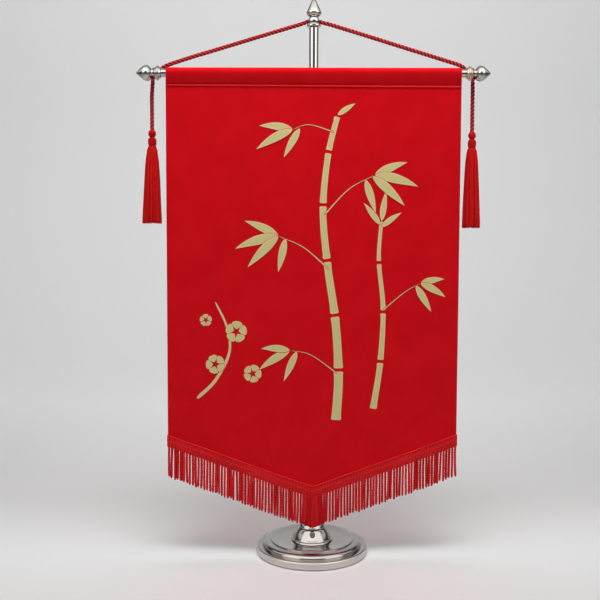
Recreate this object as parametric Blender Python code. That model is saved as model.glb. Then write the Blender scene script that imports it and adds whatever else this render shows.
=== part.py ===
# Table banner: one cloth panel on a cross rod, hung by a twisted cord from a metal pole on a turned foot.
# Frame: origin at the centre of the foot's underside, +Z up, +X to the right seen from the front, -Y front.
# Sizes below are in millimetres and are turned into metres when a mesh is made.

import math
import random

import bmesh
import bpy
from mathutils import Vector

MM = 0.001
GAP = 0.3                      # between neighbours that touch

# Driving dimensions
FOOT_RADIUS = 48.6
FOOT_BAND_HEIGHT = 7.0         # the upright outer band of the foot
FOOT_PLATE_RADIUS = 36.4       # the raised inner plate
FOOT_PLATE_HEIGHT = 12.2
HUB_SEAT_HEIGHT = 10.6         # where the hub stands on the dished plate
HUB_TOP = 34.0
POLE_RADIUS = 4.0
POLE_TOP = 455.7
SCREW_HEIGHT = 18.9
SCREW_RADIUS = 2.2
TIP_HEIGHT = 480.5

ROD_Y = -11.0                  # the rod hangs in front of the pole
ROD_Z = 415.1
ROD_TILT = 0.0055              # rise for each millimetre to the right: the rod hangs a little off level
ROD_RADIUS = 3.5
ROD_HALF_LENGTH = 134.6
BEAD_CENTRE = 131.6
BEAD_WIDTH = 5.5
BEAD_RADIUS = 6.2
ROD_TIP = 149.9

CLOTH_HALF_WIDTH = 125.0
CLOTH_THICKNESS = 1.0
SEAM_HEIGHT = 405.0            # the stitched line under the rod sleeve
HEM_END_HEIGHT = 401.8         # where the turned-over cloth ends at the back
HEADING_SIDE_HEIGHT = 106.5    # upper line of the fringe heading at the sides
HEADING_POINT_HEIGHT = 61.1    # and at the point of the V
HEADING_DEPTH = 10.2           # measured straight down
HEADING_THICKNESS = 1.2
HEADING_HALF_WIDTH = 125.6
CLOTH_EDGE_ABOVE_HEADING = 1.6  # the cut edge stays hidden behind the heading

FRINGE_STRANDS = 99
FRINGE_PITCH = 2.53
FRINGE_STRAND_WIDTH = 1.6
FRINGE_LENGTH = 26.2

CORD_RADIUS = 1.6
CORD_PITCH = 12.6              # one full turn of a ply
CORD_STEP = 1.75               # distance between rings of the twisted section
CORD_PLIES = 3
CORD_VALLEY = 0.78             # depth between two plies, as a share of the radius

# Route of the suspension cord, its left half seen from the front, then over the back of the finial's neck
CORD_ROUTE_LEFT = (
    (-135.2, -3.1, 414.9), (-133.6, -2.6, 416.4), (-131.4, -2.6, 418.3), (-128.5, -4.5, 420.0),
    (-125.2, -6.2, 421.4), (-121.0, -6.4, 423.0), (-104.0, -5.3, 428.9), (-76.0, -3.4, 437.9),
    (-44.0, -1.2, 448.3), (-16.0, 0.8, 457.3), (-8.2, 2.2, 460.1), (-5.5, 4.4, 461.8), (-3.0, 6.1, 462.8),
)
CORD_ROUTE_TOP = ((0.0, 6.7, 463.2),)
CORD_ROUTE_RIGHT = (
    (3.0, 6.1, 462.9), (5.5, 4.4, 462.0), (8.2, 2.2, 460.5), (16.0, 0.8, 458.1), (44.0, -1.2, 449.3),
    (76.0, -3.4, 439.1), (104.0, -5.3, 430.2), (121.0, -6.4, 424.8), (125.2, -6.2, 423.1), (128.5, -4.5, 421.6),
    (131.4, -2.6, 419.5), (133.4, -2.6, 417.6), (134.7, -3.1, 416.0),
)

# Each hanging tassel: the side it hangs on, its knot on the rod's neck, the line it hangs in, its lower end
TASSELS = (
    dict(side="left", knot=(-136.9, -3.5, 412.6), hang_x=-137.8, hang_y=-3.7, foot=288.4, lean=0.0, seed=11),
    dict(side="right", knot=(136.3, -3.5, 413.8), hang_x=136.3, hang_y=-3.7, foot=285.6, lean=0.3, seed=23),
)
KNOT_RADIUS = 2.4
KNOT_HALF_HEIGHT = 2.8
KNOB_TOP = 368.0
KNOB_RADIUS = 3.3
BAND_TOP = 361.6
BAND_BOTTOM = 353.9
BAND_RADIUS = 3.7
HEAD_TOP = 353.6
ROOT_HEIGHT = 349.2
SKIRT_FLARE = 1.94             # how much wider the skirt is at its foot than at its root
STRAND_CLEARANCE = 0.16        # a strand's root stands this far inside its cell

# Rings of strands under a tassel's head, from outside in
STRAND_RINGS = (
    dict(outer=4.3, inner=3.15, strands=20, bends=2),
    dict(outer=3.15, inner=1.95, strands=20, bends=1),
    dict(outer=1.95, inner=0.7, strands=10, bends=1),
)


def linear(level):
    share = level / 255
    return share / 12.92 if share <= 0.04045 else ((share + 0.055) / 1.055) ** 2.4


def make_material(name, colour, roughness, metallic=0.0):
    material = bpy.data.materials.new(name)
    material.use_nodes = True
    shader = material.node_tree.nodes["Principled BSDF"]
    shader.inputs["Base Color"].default_value = (*[linear(level) for level in colour], 1)
    shader.inputs["Roughness"].default_value = roughness
    shader.inputs["Metallic"].default_value = metallic
    material.diffuse_color = shader.inputs["Base Color"].default_value
    return material


def polished_nickel(name):
    return make_material(name, (214, 211, 206), 0.12, 1.0)


def warm_nickel(name):
    return make_material(name, (222, 203, 168), 0.16, 1.0)


def dark_steel(name):
    return make_material(name, (96, 96, 94), 0.35, 1.0)


def red_cloth(name):
    return make_material(name, (190, 12, 22), 0.75)


def red_yarn(name):
    return make_material(name, (176, 14, 20), 0.6)


def add_object(name, bm, material, smooth=True):
    bmesh.ops.recalc_face_normals(bm, faces=bm.faces[:])
    mesh = bpy.data.meshes.new(name)
    bm.to_mesh(mesh)
    bm.free()
    if smooth:
        mesh.shade_smooth()
        mesh.set_sharp_from_angle(angle=math.radians(35))
    mesh.materials.append(material)
    obj = bpy.data.objects.new(name, mesh)
    bpy.context.scene.collection.objects.link(obj)
    return obj


def place(x, y, z):
    return Vector((x * MM, y * MM, z * MM))


# Turned work

def arc(centre_r, centre_z, radius_r, radius_z, start, end, steps):
    """Points of an elliptical arc in a turned profile, angles in degrees."""
    points = []
    for step in range(steps + 1):
        angle = math.radians(start + (end - start) * step / steps)
        points.append((centre_r + radius_r * math.cos(angle), centre_z + radius_z * math.sin(angle)))
    return points


def turn(name, profile, sides, material, ring=False):
    """Spin a (radius, height) profile about Z. A ring's profile is closed and stays off the axis."""
    bm = bmesh.new()
    points = [bm.verts.new(place(radius, 0, height)) for radius, height in profile]
    pairs = list(zip(points, points[1:]))
    if ring:
        pairs.append((points[-1], points[0]))
    edges = [bm.edges.new(pair) for pair in pairs]
    bmesh.ops.spin(bm, geom=points + edges, cent=(0, 0, 0), axis=(0, 0, 1), angle=math.tau,
                   steps=sides, use_merge=True)
    bmesh.ops.remove_doubles(bm, verts=bm.verts[:], dist=1e-6)
    return add_object(name, bm, material)


def foot_profile():
    moulding_outer = 43.4
    moulding_inner = 36.9
    moulding_foot = 6.8
    moulding_rise = 4.4
    profile = [(0, 0), (FOOT_RADIUS - 1.0, 0), (FOOT_RADIUS, 1.0), (FOOT_RADIUS, FOOT_BAND_HEIGHT - 0.8),
               (FOOT_RADIUS - 0.8, FOOT_BAND_HEIGHT), (moulding_outer + 0.8, FOOT_BAND_HEIGHT)]
    profile += arc(moulding_inner, moulding_foot, moulding_outer - moulding_inner, moulding_rise, 0, 90, 6)
    profile += [(FOOT_PLATE_RADIUS, moulding_foot + moulding_rise - 0.2), (FOOT_PLATE_RADIUS, 11.9),
                (FOOT_PLATE_RADIUS - 0.6, FOOT_PLATE_HEIGHT), (28, 11.1), (19.5, HUB_SEAT_HEIGHT),
                (0, HUB_SEAT_HEIGHT)]
    return profile


def hub_profile():
    seat = HUB_SEAT_HEIGHT + GAP
    bore = POLE_RADIUS + GAP
    profile = [(0, seat), (17.4, seat), (17.9, seat + 0.5), (17.9, 12.0), (17.2, 12.6), (16.4, 12.8)]
    # the dome swells a little between its foot and its shoulder
    profile += arc(7.2, 11.7, 9.2, 10.9, 8, 60, 5)
    profile += [(11.0, 21.7), (10.6, 22.0), (10.6, 23.2)]
    # a concave neck up to the bead at the top
    profile += [(9.3, 25.0), (8.1, 27.4), (7.1, 30.4), (7.4, 31.6), (7.2, 33.0), (6.3, HUB_TOP)]
    profile += [(bore, HUB_TOP), (bore, seat + 1.6), (0, seat + 1.6)]
    return profile


def finial_profile():
    flange = POLE_TOP + GAP
    ball = 461.2
    ball_radius = 4.9
    profile = [(0, flange), (5.4, flange), (5.9, flange + 0.5), (5.9, flange + 1.8), (5.4, flange + 2.3)]
    profile += arc(0, ball, ball_radius, ball_radius, -36, 46, 6)
    # the spear: a short round shoulder, then flanks that draw in to the tip
    profile += [(3.6, 464.9), (5.2, 465.6), (6.1, 466.7), (6.35, 468.0), (6.0, 469.6), (4.8, 472.4),
                (3.4, 475.4), (2.1, 478.0), (0.9, 479.9), (0, TIP_HEIGHT)]
    return profile


def bead_profile():
    bore = ROD_RADIUS + GAP
    half = BEAD_WIDTH / 2
    profile = [(bore, -half), (4.6, -half)]
    profile += arc(4.6, 0, BEAD_RADIUS - 4.6, half, -60, 60, 4)
    profile += [(4.6, half), (bore, half)]
    return profile


def rod_finial_profile():
    """From the neck outwards; heights are measured from the rod's middle."""
    return [(0, ROD_HALF_LENGTH + GAP), (3.2, ROD_HALF_LENGTH + GAP), (3.2, 135.8), (3.5, 136.6), (4.5, 137.4),
            (5.8, 138.5), (6.6, 139.8), (6.75, 141.0), (6.5, 142.3), (5.9, 143.7), (4.5, 145.5),
            (2.5, 147.6), (0.8, 149.3), (0, ROD_TIP)]


def cut_screw_hole(hub):
    """A plain hole from the front of the dome through to the pole's bore."""
    reach = 20.0
    bpy.ops.mesh.primitive_cylinder_add(vertices=16, radius=(SCREW_RADIUS + GAP) * MM, depth=reach * MM,
                                        location=place(0, -reach / 2, SCREW_HEIGHT),
                                        rotation=(math.radians(90), 0, 0))
    cutter = bpy.context.object
    cutter.name = "screw_hole_cutter"
    cutter.hide_render = True
    cutter.display_type = "WIRE"
    cut = hub.modifiers.new("screw hole", "BOOLEAN")
    cut.operation = "DIFFERENCE"
    cut.solver = "EXACT"
    cut.object = cutter


def make_set_screw(material):
    """A grub screw whose point stops just short of the pole, with a hexagon socket in its outer end."""
    point = POLE_RADIUS + GAP
    outer_end = 14.2
    socket_depth = 2.0
    sides = 12
    bm = bmesh.new()
    levels = ((SCREW_RADIUS * 0.6, point), (SCREW_RADIUS, point + 0.9), (SCREW_RADIUS, outer_end - 0.3),
              (SCREW_RADIUS - 0.3, outer_end), (1.25, outer_end), (1.1, outer_end - socket_depth))
    rings = []
    for radius, depth in levels:
        ring = []
        for side in range(sides):
            angle = math.tau * side / sides
            # the socket's rings lie on a hexagon, so every second point is drawn in
            flat = math.cos(math.radians(30)) if radius < 1.3 and side % 2 else 1.0
            ring.append(bm.verts.new(place(radius * flat * math.cos(angle), -depth,
                                           SCREW_HEIGHT + radius * flat * math.sin(angle))))
        rings.append(ring)
    for lower, upper in zip(rings, rings[1:]):
        for side in range(sides):
            following = (side + 1) % sides
            bm.faces.new((lower[side], lower[following], upper[following], upper[side]))
    bm.faces.new(rings[0])
    bm.faces.new(rings[-1])
    add_object("set_screw", bm, material)


def make_stand():
    nickel = polished_nickel("foot nickel")
    turn("base_foot", foot_profile(), 40, nickel)
    hub = turn("hub", hub_profile(), 28, polished_nickel("hub nickel"))
    cut_screw_hole(hub)
    make_set_screw(dark_steel("screw steel"))
    pole_foot = HUB_SEAT_HEIGHT + 2 * GAP + 1.6
    turn("pole", [(0, pole_foot), (POLE_RADIUS, pole_foot), (POLE_RADIUS, POLE_TOP), (0, POLE_TOP)], 24,
         polished_nickel("pole nickel"))
    turn("pole_finial", finial_profile(), 20, polished_nickel("spear nickel"))


def rod_height(x):
    return ROD_Z + ROD_TILT * x


def lay_on_rod(obj, side, x=0.0):
    """Turn a piece that was spun about Z so that its axis points outwards along the rod."""
    obj.rotation_euler = (0, math.radians(90) * side - math.atan(ROD_TILT), 0)
    obj.location = place(x, ROD_Y, rod_height(x))


def make_rod():
    rod = turn("cross_rod", [(0, -ROD_HALF_LENGTH), (ROD_RADIUS, -ROD_HALF_LENGTH),
                             (ROD_RADIUS, ROD_HALF_LENGTH), (0, ROD_HALF_LENGTH)], 20,
               polished_nickel("rod nickel"))
    lay_on_rod(rod, 1)
    for name, side, bead_metal in (("left", -1, polished_nickel), ("right", 1, warm_nickel)):
        lay_on_rod(turn("rod_finial_" + name, rod_finial_profile(), 18, polished_nickel(name + " end nickel")), side)
        bead = turn("rod_bead_" + name, bead_profile(), 18, bead_metal(name + " bead nickel"), ring=True)
        lay_on_rod(bead, 1, BEAD_CENTRE * side)


# Cloth

def heading_top(x):
    """Upper line of the heading: a V that falls from the sides to the point."""
    return HEADING_POINT_HEIGHT + (HEADING_SIDE_HEIGHT - HEADING_POINT_HEIGHT) * abs(x) / CLOTH_HALF_WIDTH


def heading_bottom(x):
    return heading_top(x) - HEADING_DEPTH


def panel_wave(x, z):
    """How far the hanging panel stands back from its flat plane: slack folds that grow downwards."""
    growth = min(1.0, max(0.0, (SEAM_HEIGHT - z) / 260))
    broad = 0.62 * math.sin(math.tau * x / 118 + 0.7)
    narrow = 0.26 * math.sin(math.tau * x / 67 + 2.2)
    return growth * (broad + narrow)


def panel_front(x, z):
    return ROD_Y - CLOTH_THICKNESS + panel_wave(x, z)


def sleeve_loop(rod_z):
    """Inner and outer points (y, z) of the sleeve, from the seam up the front, over the rod and down the back."""
    inner_radius = ROD_RADIUS + GAP
    seam_tip = (ROD_Y, SEAM_HEIGHT + 1.5)
    drop = rod_z - seam_tip[1]
    lean = math.degrees(math.asin(inner_radius / drop))
    inner = [seam_tip]
    outer = [(ROD_Y - CLOTH_THICKNESS, seam_tip[1])]
    arc_steps = 8
    for step in range(arc_steps + 1):
        angle = math.radians(-lean + (180 + 2 * lean) * step / arc_steps)
        across, up = -math.cos(angle), math.sin(angle)
        inner.append((ROD_Y + inner_radius * across, rod_z + inner_radius * up))
        reach = inner_radius + CLOTH_THICKNESS
        outer.append((ROD_Y + reach * across, rod_z + reach * up))
    inner.append(seam_tip)
    outer.append((ROD_Y + CLOTH_THICKNESS, seam_tip[1]))
    return inner, outer


def cloth_section(x):
    """One slice of the cloth at x: its outer loop from the cut edge up the front, round and down the back,
    the number of points on each stretch, and the loop of the hole that the rod goes through."""
    cut_edge = heading_bottom(x) + CLOTH_EDGE_ABOVE_HEADING
    top_line = heading_top(x)
    heights = [cut_edge, top_line + 1.0]
    rows = 5
    for row in range(1, rows):
        heights.append(top_line + (HEM_END_HEIGHT - top_line) * row / rows)
    heights.append(HEM_END_HEIGHT)
    inner, outer = sleeve_loop(rod_height(x))
    stitch_dip = 0.3
    front = [(panel_front(x, z), z) for z in heights]
    seam_front = [(panel_front(x, SEAM_HEIGHT) + stitch_dip, SEAM_HEIGHT)]
    seam_back = [(ROD_Y + CLOTH_THICKNESS - stitch_dip, SEAM_HEIGHT),
                 (ROD_Y + CLOTH_THICKNESS, HEM_END_HEIGHT)]
    back = [(y + CLOTH_THICKNESS, z) for y, z in reversed(front)]
    loop = front + seam_front + outer + seam_back + back
    hole = inner[:-1]
    return loop, len(front) + len(seam_front), hole


def make_cloth():
    columns = 24
    bm = bmesh.new()
    loops = []
    holes = []
    for column in range(columns + 1):
        x = CLOTH_HALF_WIDTH * (2 * column / columns - 1)
        loop, sleeve_start, hole = cloth_section(x)
        loops.append([bm.verts.new(place(x, y, z)) for y, z in loop])
        holes.append([bm.verts.new(place(x, y, z)) for y, z in hole])
    for rings in (loops, holes):
        for left, right in zip(rings, rings[1:]):
            count = len(left)
            for index in range(count):
                following = (index + 1) % count
                bm.faces.new((left[index], left[following], right[following], right[index]))
    for loop, hole in ((loops[0], holes[0]), (loops[-1], holes[-1])):
        close_cloth_end(bm, loop, hole, sleeve_start)
    add_object("banner_cloth", bm, red_cloth("banner red"))


def close_cloth_end(bm, loop, hole, sleeve_start):
    """Fill a cut side of the cloth: quads round the sleeve, and one face for the panel with its hem."""
    wall = len(hole)
    for index in range(wall):
        bm.faces.new((loop[sleeve_start + index], loop[sleeve_start + index + 1],
                      hole[(index + 1) % wall], hole[index]))
    panel = loop[:sleeve_start + 1] + [hole[0]] + loop[sleeve_start + wall:]
    bm.faces.new(panel)


def make_fringe():
    """A woven heading along the V with its strands, whose roots are the heading's own lower edge."""
    rng = random.Random(7)
    cloth_gap = GAP + 0.1
    edges = []
    for strand in range(FRINGE_STRANDS):
        centre = (strand - (FRINGE_STRANDS - 1) / 2) * FRINGE_PITCH
        edges += [centre - FRINGE_STRAND_WIDTH / 2, centre + FRINGE_STRAND_WIDTH / 2]
    columns = [-HEADING_HALF_WIDTH] + edges + [HEADING_HALF_WIDTH]
    bm = bmesh.new()
    sections = []
    for x in columns:
        section = []
        for z, side in ((heading_top(x), 0), (heading_top(x), 1), (heading_bottom(x), 1), (heading_bottom(x), 0)):
            y = panel_front(x, z) - cloth_gap - HEADING_THICKNESS * side
            section.append(bm.verts.new(place(x, y, z)))
        sections.append(section)
    for index, (left, right) in enumerate(zip(sections, sections[1:])):
        has_strand = index % 2 == 1
        for corner in range(4):
            following = (corner + 1) % 4
            if corner == 2 and has_strand:
                continue
            bm.faces.new((left[corner], left[following], right[following], right[corner]))
        if has_strand:
            hang_fringe_strand(bm, (left[2], right[2], right[3], left[3]), rng)
    bm.faces.new(sections[0])
    bm.faces.new(sections[-1])
    add_object("fringe", bm, red_yarn("fringe red"), smooth=False)


def hang_fringe_strand(bm, root, rng):
    """Four sides from the root's corners to a tip, with one soft bend on the way."""
    length = FRINGE_LENGTH + rng.uniform(-0.8, 0.8)
    centre = sum((corner.co for corner in root), Vector()) / 4
    levels = (
        dict(down=0.5, shift_x=rng.uniform(-0.2, 0.2), shift_y=rng.uniform(-0.25, 0.25), width=1.0),
        dict(down=1.0, shift_x=rng.uniform(-0.32, 0.32), shift_y=rng.uniform(-0.5, 0.5), width=0.86),
    )
    above = list(root)
    for level in levels:
        middle = centre + place(level["shift_x"], level["shift_y"], -length * level["down"])
        below = []
        for corner in root:
            offset = corner.co - centre
            offset.z = 0
            below.append(bm.verts.new(middle + offset * level["width"]))
        for side in range(4):
            following = (side + 1) % 4
            bm.faces.new((above[side], above[following], below[following], below[side]))
        above = below
    bm.faces.new(above)


# Cords and tassels

def smooth_route(points, step):
    """Points an even step apart on a Catmull-Rom curve through the route's own points."""
    route = [Vector(point) for point in points]
    route = [2 * route[0] - route[1]] + route + [2 * route[-1] - route[-2]]
    fine = []
    for before, start, end, after in zip(route, route[1:], route[2:], route[3:]):
        parts = max(2, round((end - start).length / 0.2))
        for part in range(parts):
            t = part / parts
            fine.append(0.5 * (2 * start + (end - before) * t + (2 * before - 5 * start + 4 * end - after) * t ** 2
                               + (3 * start - before - 3 * end + after) * t ** 3))
    fine.append(route[-2])
    lengths = [0.0]
    for start, end in zip(fine, fine[1:]):
        lengths.append(lengths[-1] + (end - start).length)
    count = max(2, round(lengths[-1] / step))
    even = []
    place_in_fine = 0
    for index in range(count + 1):
        target = lengths[-1] * index / count
        while place_in_fine < len(fine) - 2 and lengths[place_in_fine + 1] < target:
            place_in_fine += 1
        span = lengths[place_in_fine + 1] - lengths[place_in_fine]
        share = (target - lengths[place_in_fine]) / span
        even.append(fine[place_in_fine].lerp(fine[place_in_fine + 1], min(1.0, share)))
    return even


def make_twisted_cord(name, route, material):
    """Plies show as ridges: a section with one ridge for each ply turns along the route."""
    points = smooth_route(route, CORD_STEP)
    bm = bmesh.new()
    rings = []
    across = None
    corners = 2 * CORD_PLIES
    for index, point in enumerate(points):
        ahead = points[min(index + 1, len(points) - 1)] - points[max(index - 1, 0)]
        ahead.normalize()
        if across is None:
            across = ahead.orthogonal().normalized()
        across = (across - ahead * across.dot(ahead)).normalized()
        up = ahead.cross(across)
        turned = math.tau * index * CORD_STEP / CORD_PITCH
        ring = []
        for corner in range(corners):
            angle = math.tau * corner / corners + turned
            radius = CORD_RADIUS * (CORD_VALLEY if corner % 2 else 1.0)
            spot = point + across * (radius * math.cos(angle)) + up * (radius * math.sin(angle))
            ring.append(bm.verts.new(spot * MM))
        rings.append(ring)
    for lower, upper in zip(rings, rings[1:]):
        for corner in range(corners):
            following = (corner + 1) % corners
            bm.faces.new((lower[corner], lower[following], upper[following], upper[corner]))
    bm.faces.new(rings[0])
    bm.faces.new(rings[-1])
    add_object(name, bm, material)


def knot_profile():
    return arc(0, 0, KNOT_RADIUS, KNOT_HALF_HEIGHT, -90, 90, 6)


def knob_profile():
    middle = (KNOB_TOP + BAND_TOP) / 2
    half = (KNOB_TOP - BAND_TOP) / 2
    return arc(0, middle, KNOB_RADIUS, half, -90, 90, 6)


def band_profile():
    """A binding wound round the neck of the tassel: its turns show as ridges."""
    turns = 4
    top = BAND_TOP - GAP
    pitch = (top - BAND_BOTTOM) / turns
    profile = [(0, BAND_BOTTOM)]
    for wound in range(turns):
        low = BAND_BOTTOM + pitch * wound
        profile += [(BAND_RADIUS - 0.45, low), (BAND_RADIUS, low + pitch / 2)]
    profile += [(BAND_RADIUS - 0.45, top), (0, top)]
    return profile


def ring_of_points(bm, radius, height, count):
    points = []
    for index in range(count):
        angle = math.tau * index / count
        points.append(bm.verts.new((radius * math.cos(angle) * MM, radius * math.sin(angle) * MM, height * MM)))
    return points


def join_rings(bm, lower, upper):
    for index in range(len(lower)):
        following = (index + 1) % len(lower)
        bm.faces.new((lower[index], lower[following], upper[following], upper[index]))


def make_tassel_skirt(tassel, material):
    """A small head whose underside is divided into cells, and one strand hanging from each cell."""
    rng = random.Random(tassel["seed"])
    bm = bmesh.new()
    sides = STRAND_RINGS[0]["strands"]
    outer_radius = STRAND_RINGS[0]["outer"]
    bounds = [ring_of_points(bm, outer_radius, ROOT_HEIGHT, sides)]
    for ring in STRAND_RINGS:
        bounds.append(ring_of_points(bm, ring["inner"], ROOT_HEIGHT, ring["strands"]))
    shoulder = ring_of_points(bm, outer_radius - 0.15, HEAD_TOP - 1.0, sides)
    crown = ring_of_points(bm, outer_radius - 0.9, HEAD_TOP, sides)
    join_rings(bm, bounds[0], shoulder)
    join_rings(bm, shoulder, crown)
    bm.faces.new(crown)
    bm.faces.new(bounds[-1])
    for ring, outside, inside in zip(STRAND_RINGS, bounds, bounds[1:]):
        for cell in range(ring["strands"]):
            add_cell_strand(bm, ring, cell, outside, inside, tassel, rng)
    bmesh.ops.translate(bm, verts=bm.verts[:], vec=place(tassel["hang_x"], tassel["hang_y"], 0))
    add_object("tassel_" + tassel["side"], bm, material, smooth=False)


def cell_side(points, cell, cells):
    """The points of a ring that bound one of its cells."""
    each = len(points) // cells
    return [points[(cell * each + index) % len(points)] for index in range(each + 1)]


def add_cell_strand(bm, ring, cell, outside, inside, tassel, rng):
    cells = ring["strands"]
    outer_side = cell_side(outside, cell, cells)
    inner_side = cell_side(inside, cell, cells)
    middle = (ring["outer"] + ring["inner"]) / 2
    half_angle = math.pi / cells - STRAND_CLEARANCE / middle
    centre_angle = math.tau * (cell + 0.5) / cells
    spots = []
    for radius, turn_by in ((ring["outer"] - STRAND_CLEARANCE, -half_angle),
                            (ring["outer"] - STRAND_CLEARANCE, half_angle),
                            (ring["inner"] + STRAND_CLEARANCE, half_angle),
                            (ring["inner"] + STRAND_CLEARANCE, -half_angle)):
        angle = centre_angle + turn_by
        spots.append(Vector((radius * math.cos(angle), radius * math.sin(angle), ROOT_HEIGHT)))
    root = [bm.verts.new(spot * MM) for spot in spots]
    # flat faces between the cell's rim and the strand's root
    bm.faces.new(outer_side + [root[1], root[0]])
    bm.faces.new([outer_side[-1], inner_side[-1], root[2], root[1]])
    bm.faces.new(inner_side[::-1] + [root[3], root[2]])
    bm.faces.new([inner_side[0], outer_side[0], root[0], root[3]])
    foot = tassel["foot"] + rng.uniform(0.0, 2.2)
    core = Vector((middle * math.cos(centre_angle), middle * math.sin(centre_angle), 0))
    above = root
    for bend in range(1, ring["bends"] + 1):
        share = bend / ring["bends"]
        spread = 1 + (SKIRT_FLARE - 1) * share ** 0.75
        sway = Vector((rng.uniform(-0.22, 0.22) + tassel["lean"] * share, rng.uniform(-0.22, 0.22), 0))
        height = ROOT_HEIGHT + (foot - ROOT_HEIGHT) * share
        below = []
        for spot in spots:
            offset = Vector((spot.x, spot.y, 0)) - core
            position = core * spread + offset * 1.12 + sway
            position.z = height
            below.append(bm.verts.new(position * MM))
        join_rings(bm, above, below)
        above = below
    bm.faces.new(above)


def make_cords_and_tassels():
    make_twisted_cord("suspension_cord", CORD_ROUTE_LEFT + CORD_ROUTE_TOP + CORD_ROUTE_RIGHT, red_yarn("cord red"))
    for tassel in TASSELS:
        name = tassel["side"]
        knot_x, knot_y, knot_z = tassel["knot"]
        hang = (tassel["hang_x"], tassel["hang_y"])
        knot = turn("cord_knot_" + name, knot_profile(), 12, red_yarn(name + " knot red"))
        knot.location = place(*tassel["knot"])
        cord_top = knot_z - KNOT_HALF_HEIGHT - GAP
        cord_route = ((knot_x, knot_y, cord_top), ((knot_x + hang[0]) / 2, (knot_y + hang[1]) / 2, cord_top - 6),
                      (*hang, cord_top - 14), (*hang, KNOB_TOP + 14), (*hang, KNOB_TOP + GAP))
        make_twisted_cord("tassel_cord_" + name, cord_route, red_yarn(name + " drop red"))
        knob = turn("tassel_knob_" + name, knob_profile(), 14, red_yarn(name + " knob red"))
        knob.location = place(*hang, 0)
        band = turn("tassel_band_" + name, band_profile(), 14, red_yarn(name + " band red"))
        band.location = place(*hang, 0)
        make_tassel_skirt(tassel, red_yarn(name + " tassel red"))


def main():
    for obj in list(bpy.data.objects):
        bpy.data.objects.remove(obj, do_unlink=True)
    make_stand()
    make_rod()
    make_cloth()
    make_fringe()
    make_cords_and_tassels()


main()
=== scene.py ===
# Table banner: polished stand, thin hanging cloth with a printed spray, fringe, cords and tassels.
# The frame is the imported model's, in metres. Shapes are given in millimetres, materials and stage in metres.

import math
import random

import bmesh
import bpy
from mathutils import Matrix, Vector


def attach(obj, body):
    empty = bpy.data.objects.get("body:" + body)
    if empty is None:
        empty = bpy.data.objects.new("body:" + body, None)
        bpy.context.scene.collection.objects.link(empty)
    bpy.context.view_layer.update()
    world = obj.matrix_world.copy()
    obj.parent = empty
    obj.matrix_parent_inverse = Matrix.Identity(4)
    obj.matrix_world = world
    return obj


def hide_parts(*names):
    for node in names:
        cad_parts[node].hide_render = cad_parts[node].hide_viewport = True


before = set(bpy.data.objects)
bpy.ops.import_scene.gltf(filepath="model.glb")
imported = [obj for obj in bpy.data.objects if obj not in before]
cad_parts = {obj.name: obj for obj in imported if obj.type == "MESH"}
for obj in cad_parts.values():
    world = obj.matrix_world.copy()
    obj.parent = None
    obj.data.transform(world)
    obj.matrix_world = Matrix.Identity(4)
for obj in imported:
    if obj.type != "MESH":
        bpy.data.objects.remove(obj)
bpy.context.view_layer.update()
mm = 0.001
fullTurn = math.tau


def linear(level):  # one 0-255 screen level as the linear value that shaders take
    share = level / 255
    return share / 12.92 if share <= 0.04045 else ((share + 0.055) / 1.055) ** 2.4


def paint(red, green, blue):
    return (linear(red), linear(green), linear(blue), 1.0)


# Node trees

class Wire:  # an output socket that takes part in sums
    def __init__(self, board, socket):
        self.board = board
        self.socket = socket

    def sum(self, operation, *terms):
        return self.board.node("ShaderNodeMath", dict(operation=operation), dict(enumerate(terms)))

    def __add__(self, other):
        return self.sum("ADD", self, other)

    def __radd__(self, other):
        return self.sum("ADD", other, self)

    def __sub__(self, other):
        return self.sum("SUBTRACT", self, other)

    def __rsub__(self, other):
        return self.sum("SUBTRACT", other, self)

    def __mul__(self, other):
        return self.sum("MULTIPLY", self, other)

    def __rmul__(self, other):
        return self.sum("MULTIPLY", other, self)

    def __truediv__(self, other):
        return self.sum("DIVIDE", self, other)

    def __rtruediv__(self, other):
        return self.sum("DIVIDE", other, self)

    def sine(self):
        return self.sum("SINE", self)

    def cosine(self):
        return self.sum("COSINE", self)

    def root(self):
        return self.sum("SQRT", self)

    def angleTo(self, other):
        return self.sum("ARCTAN2", self, other)

    def step(self, low, high):  # 0 below low, 1 above high, soft between
        return self.board.node("ShaderNodeMapRange", dict(interpolation_type="SMOOTHSTEP"),
                               {"Value": self, "From Min": low, "From Max": high})

    def past(self, level, soft):  # a soft step centred on a level
        return self.step(level - soft, level + soft)

    def between(self, low, high, soft):
        return self.past(low, soft) * (1 - self.past(high, soft))


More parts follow.
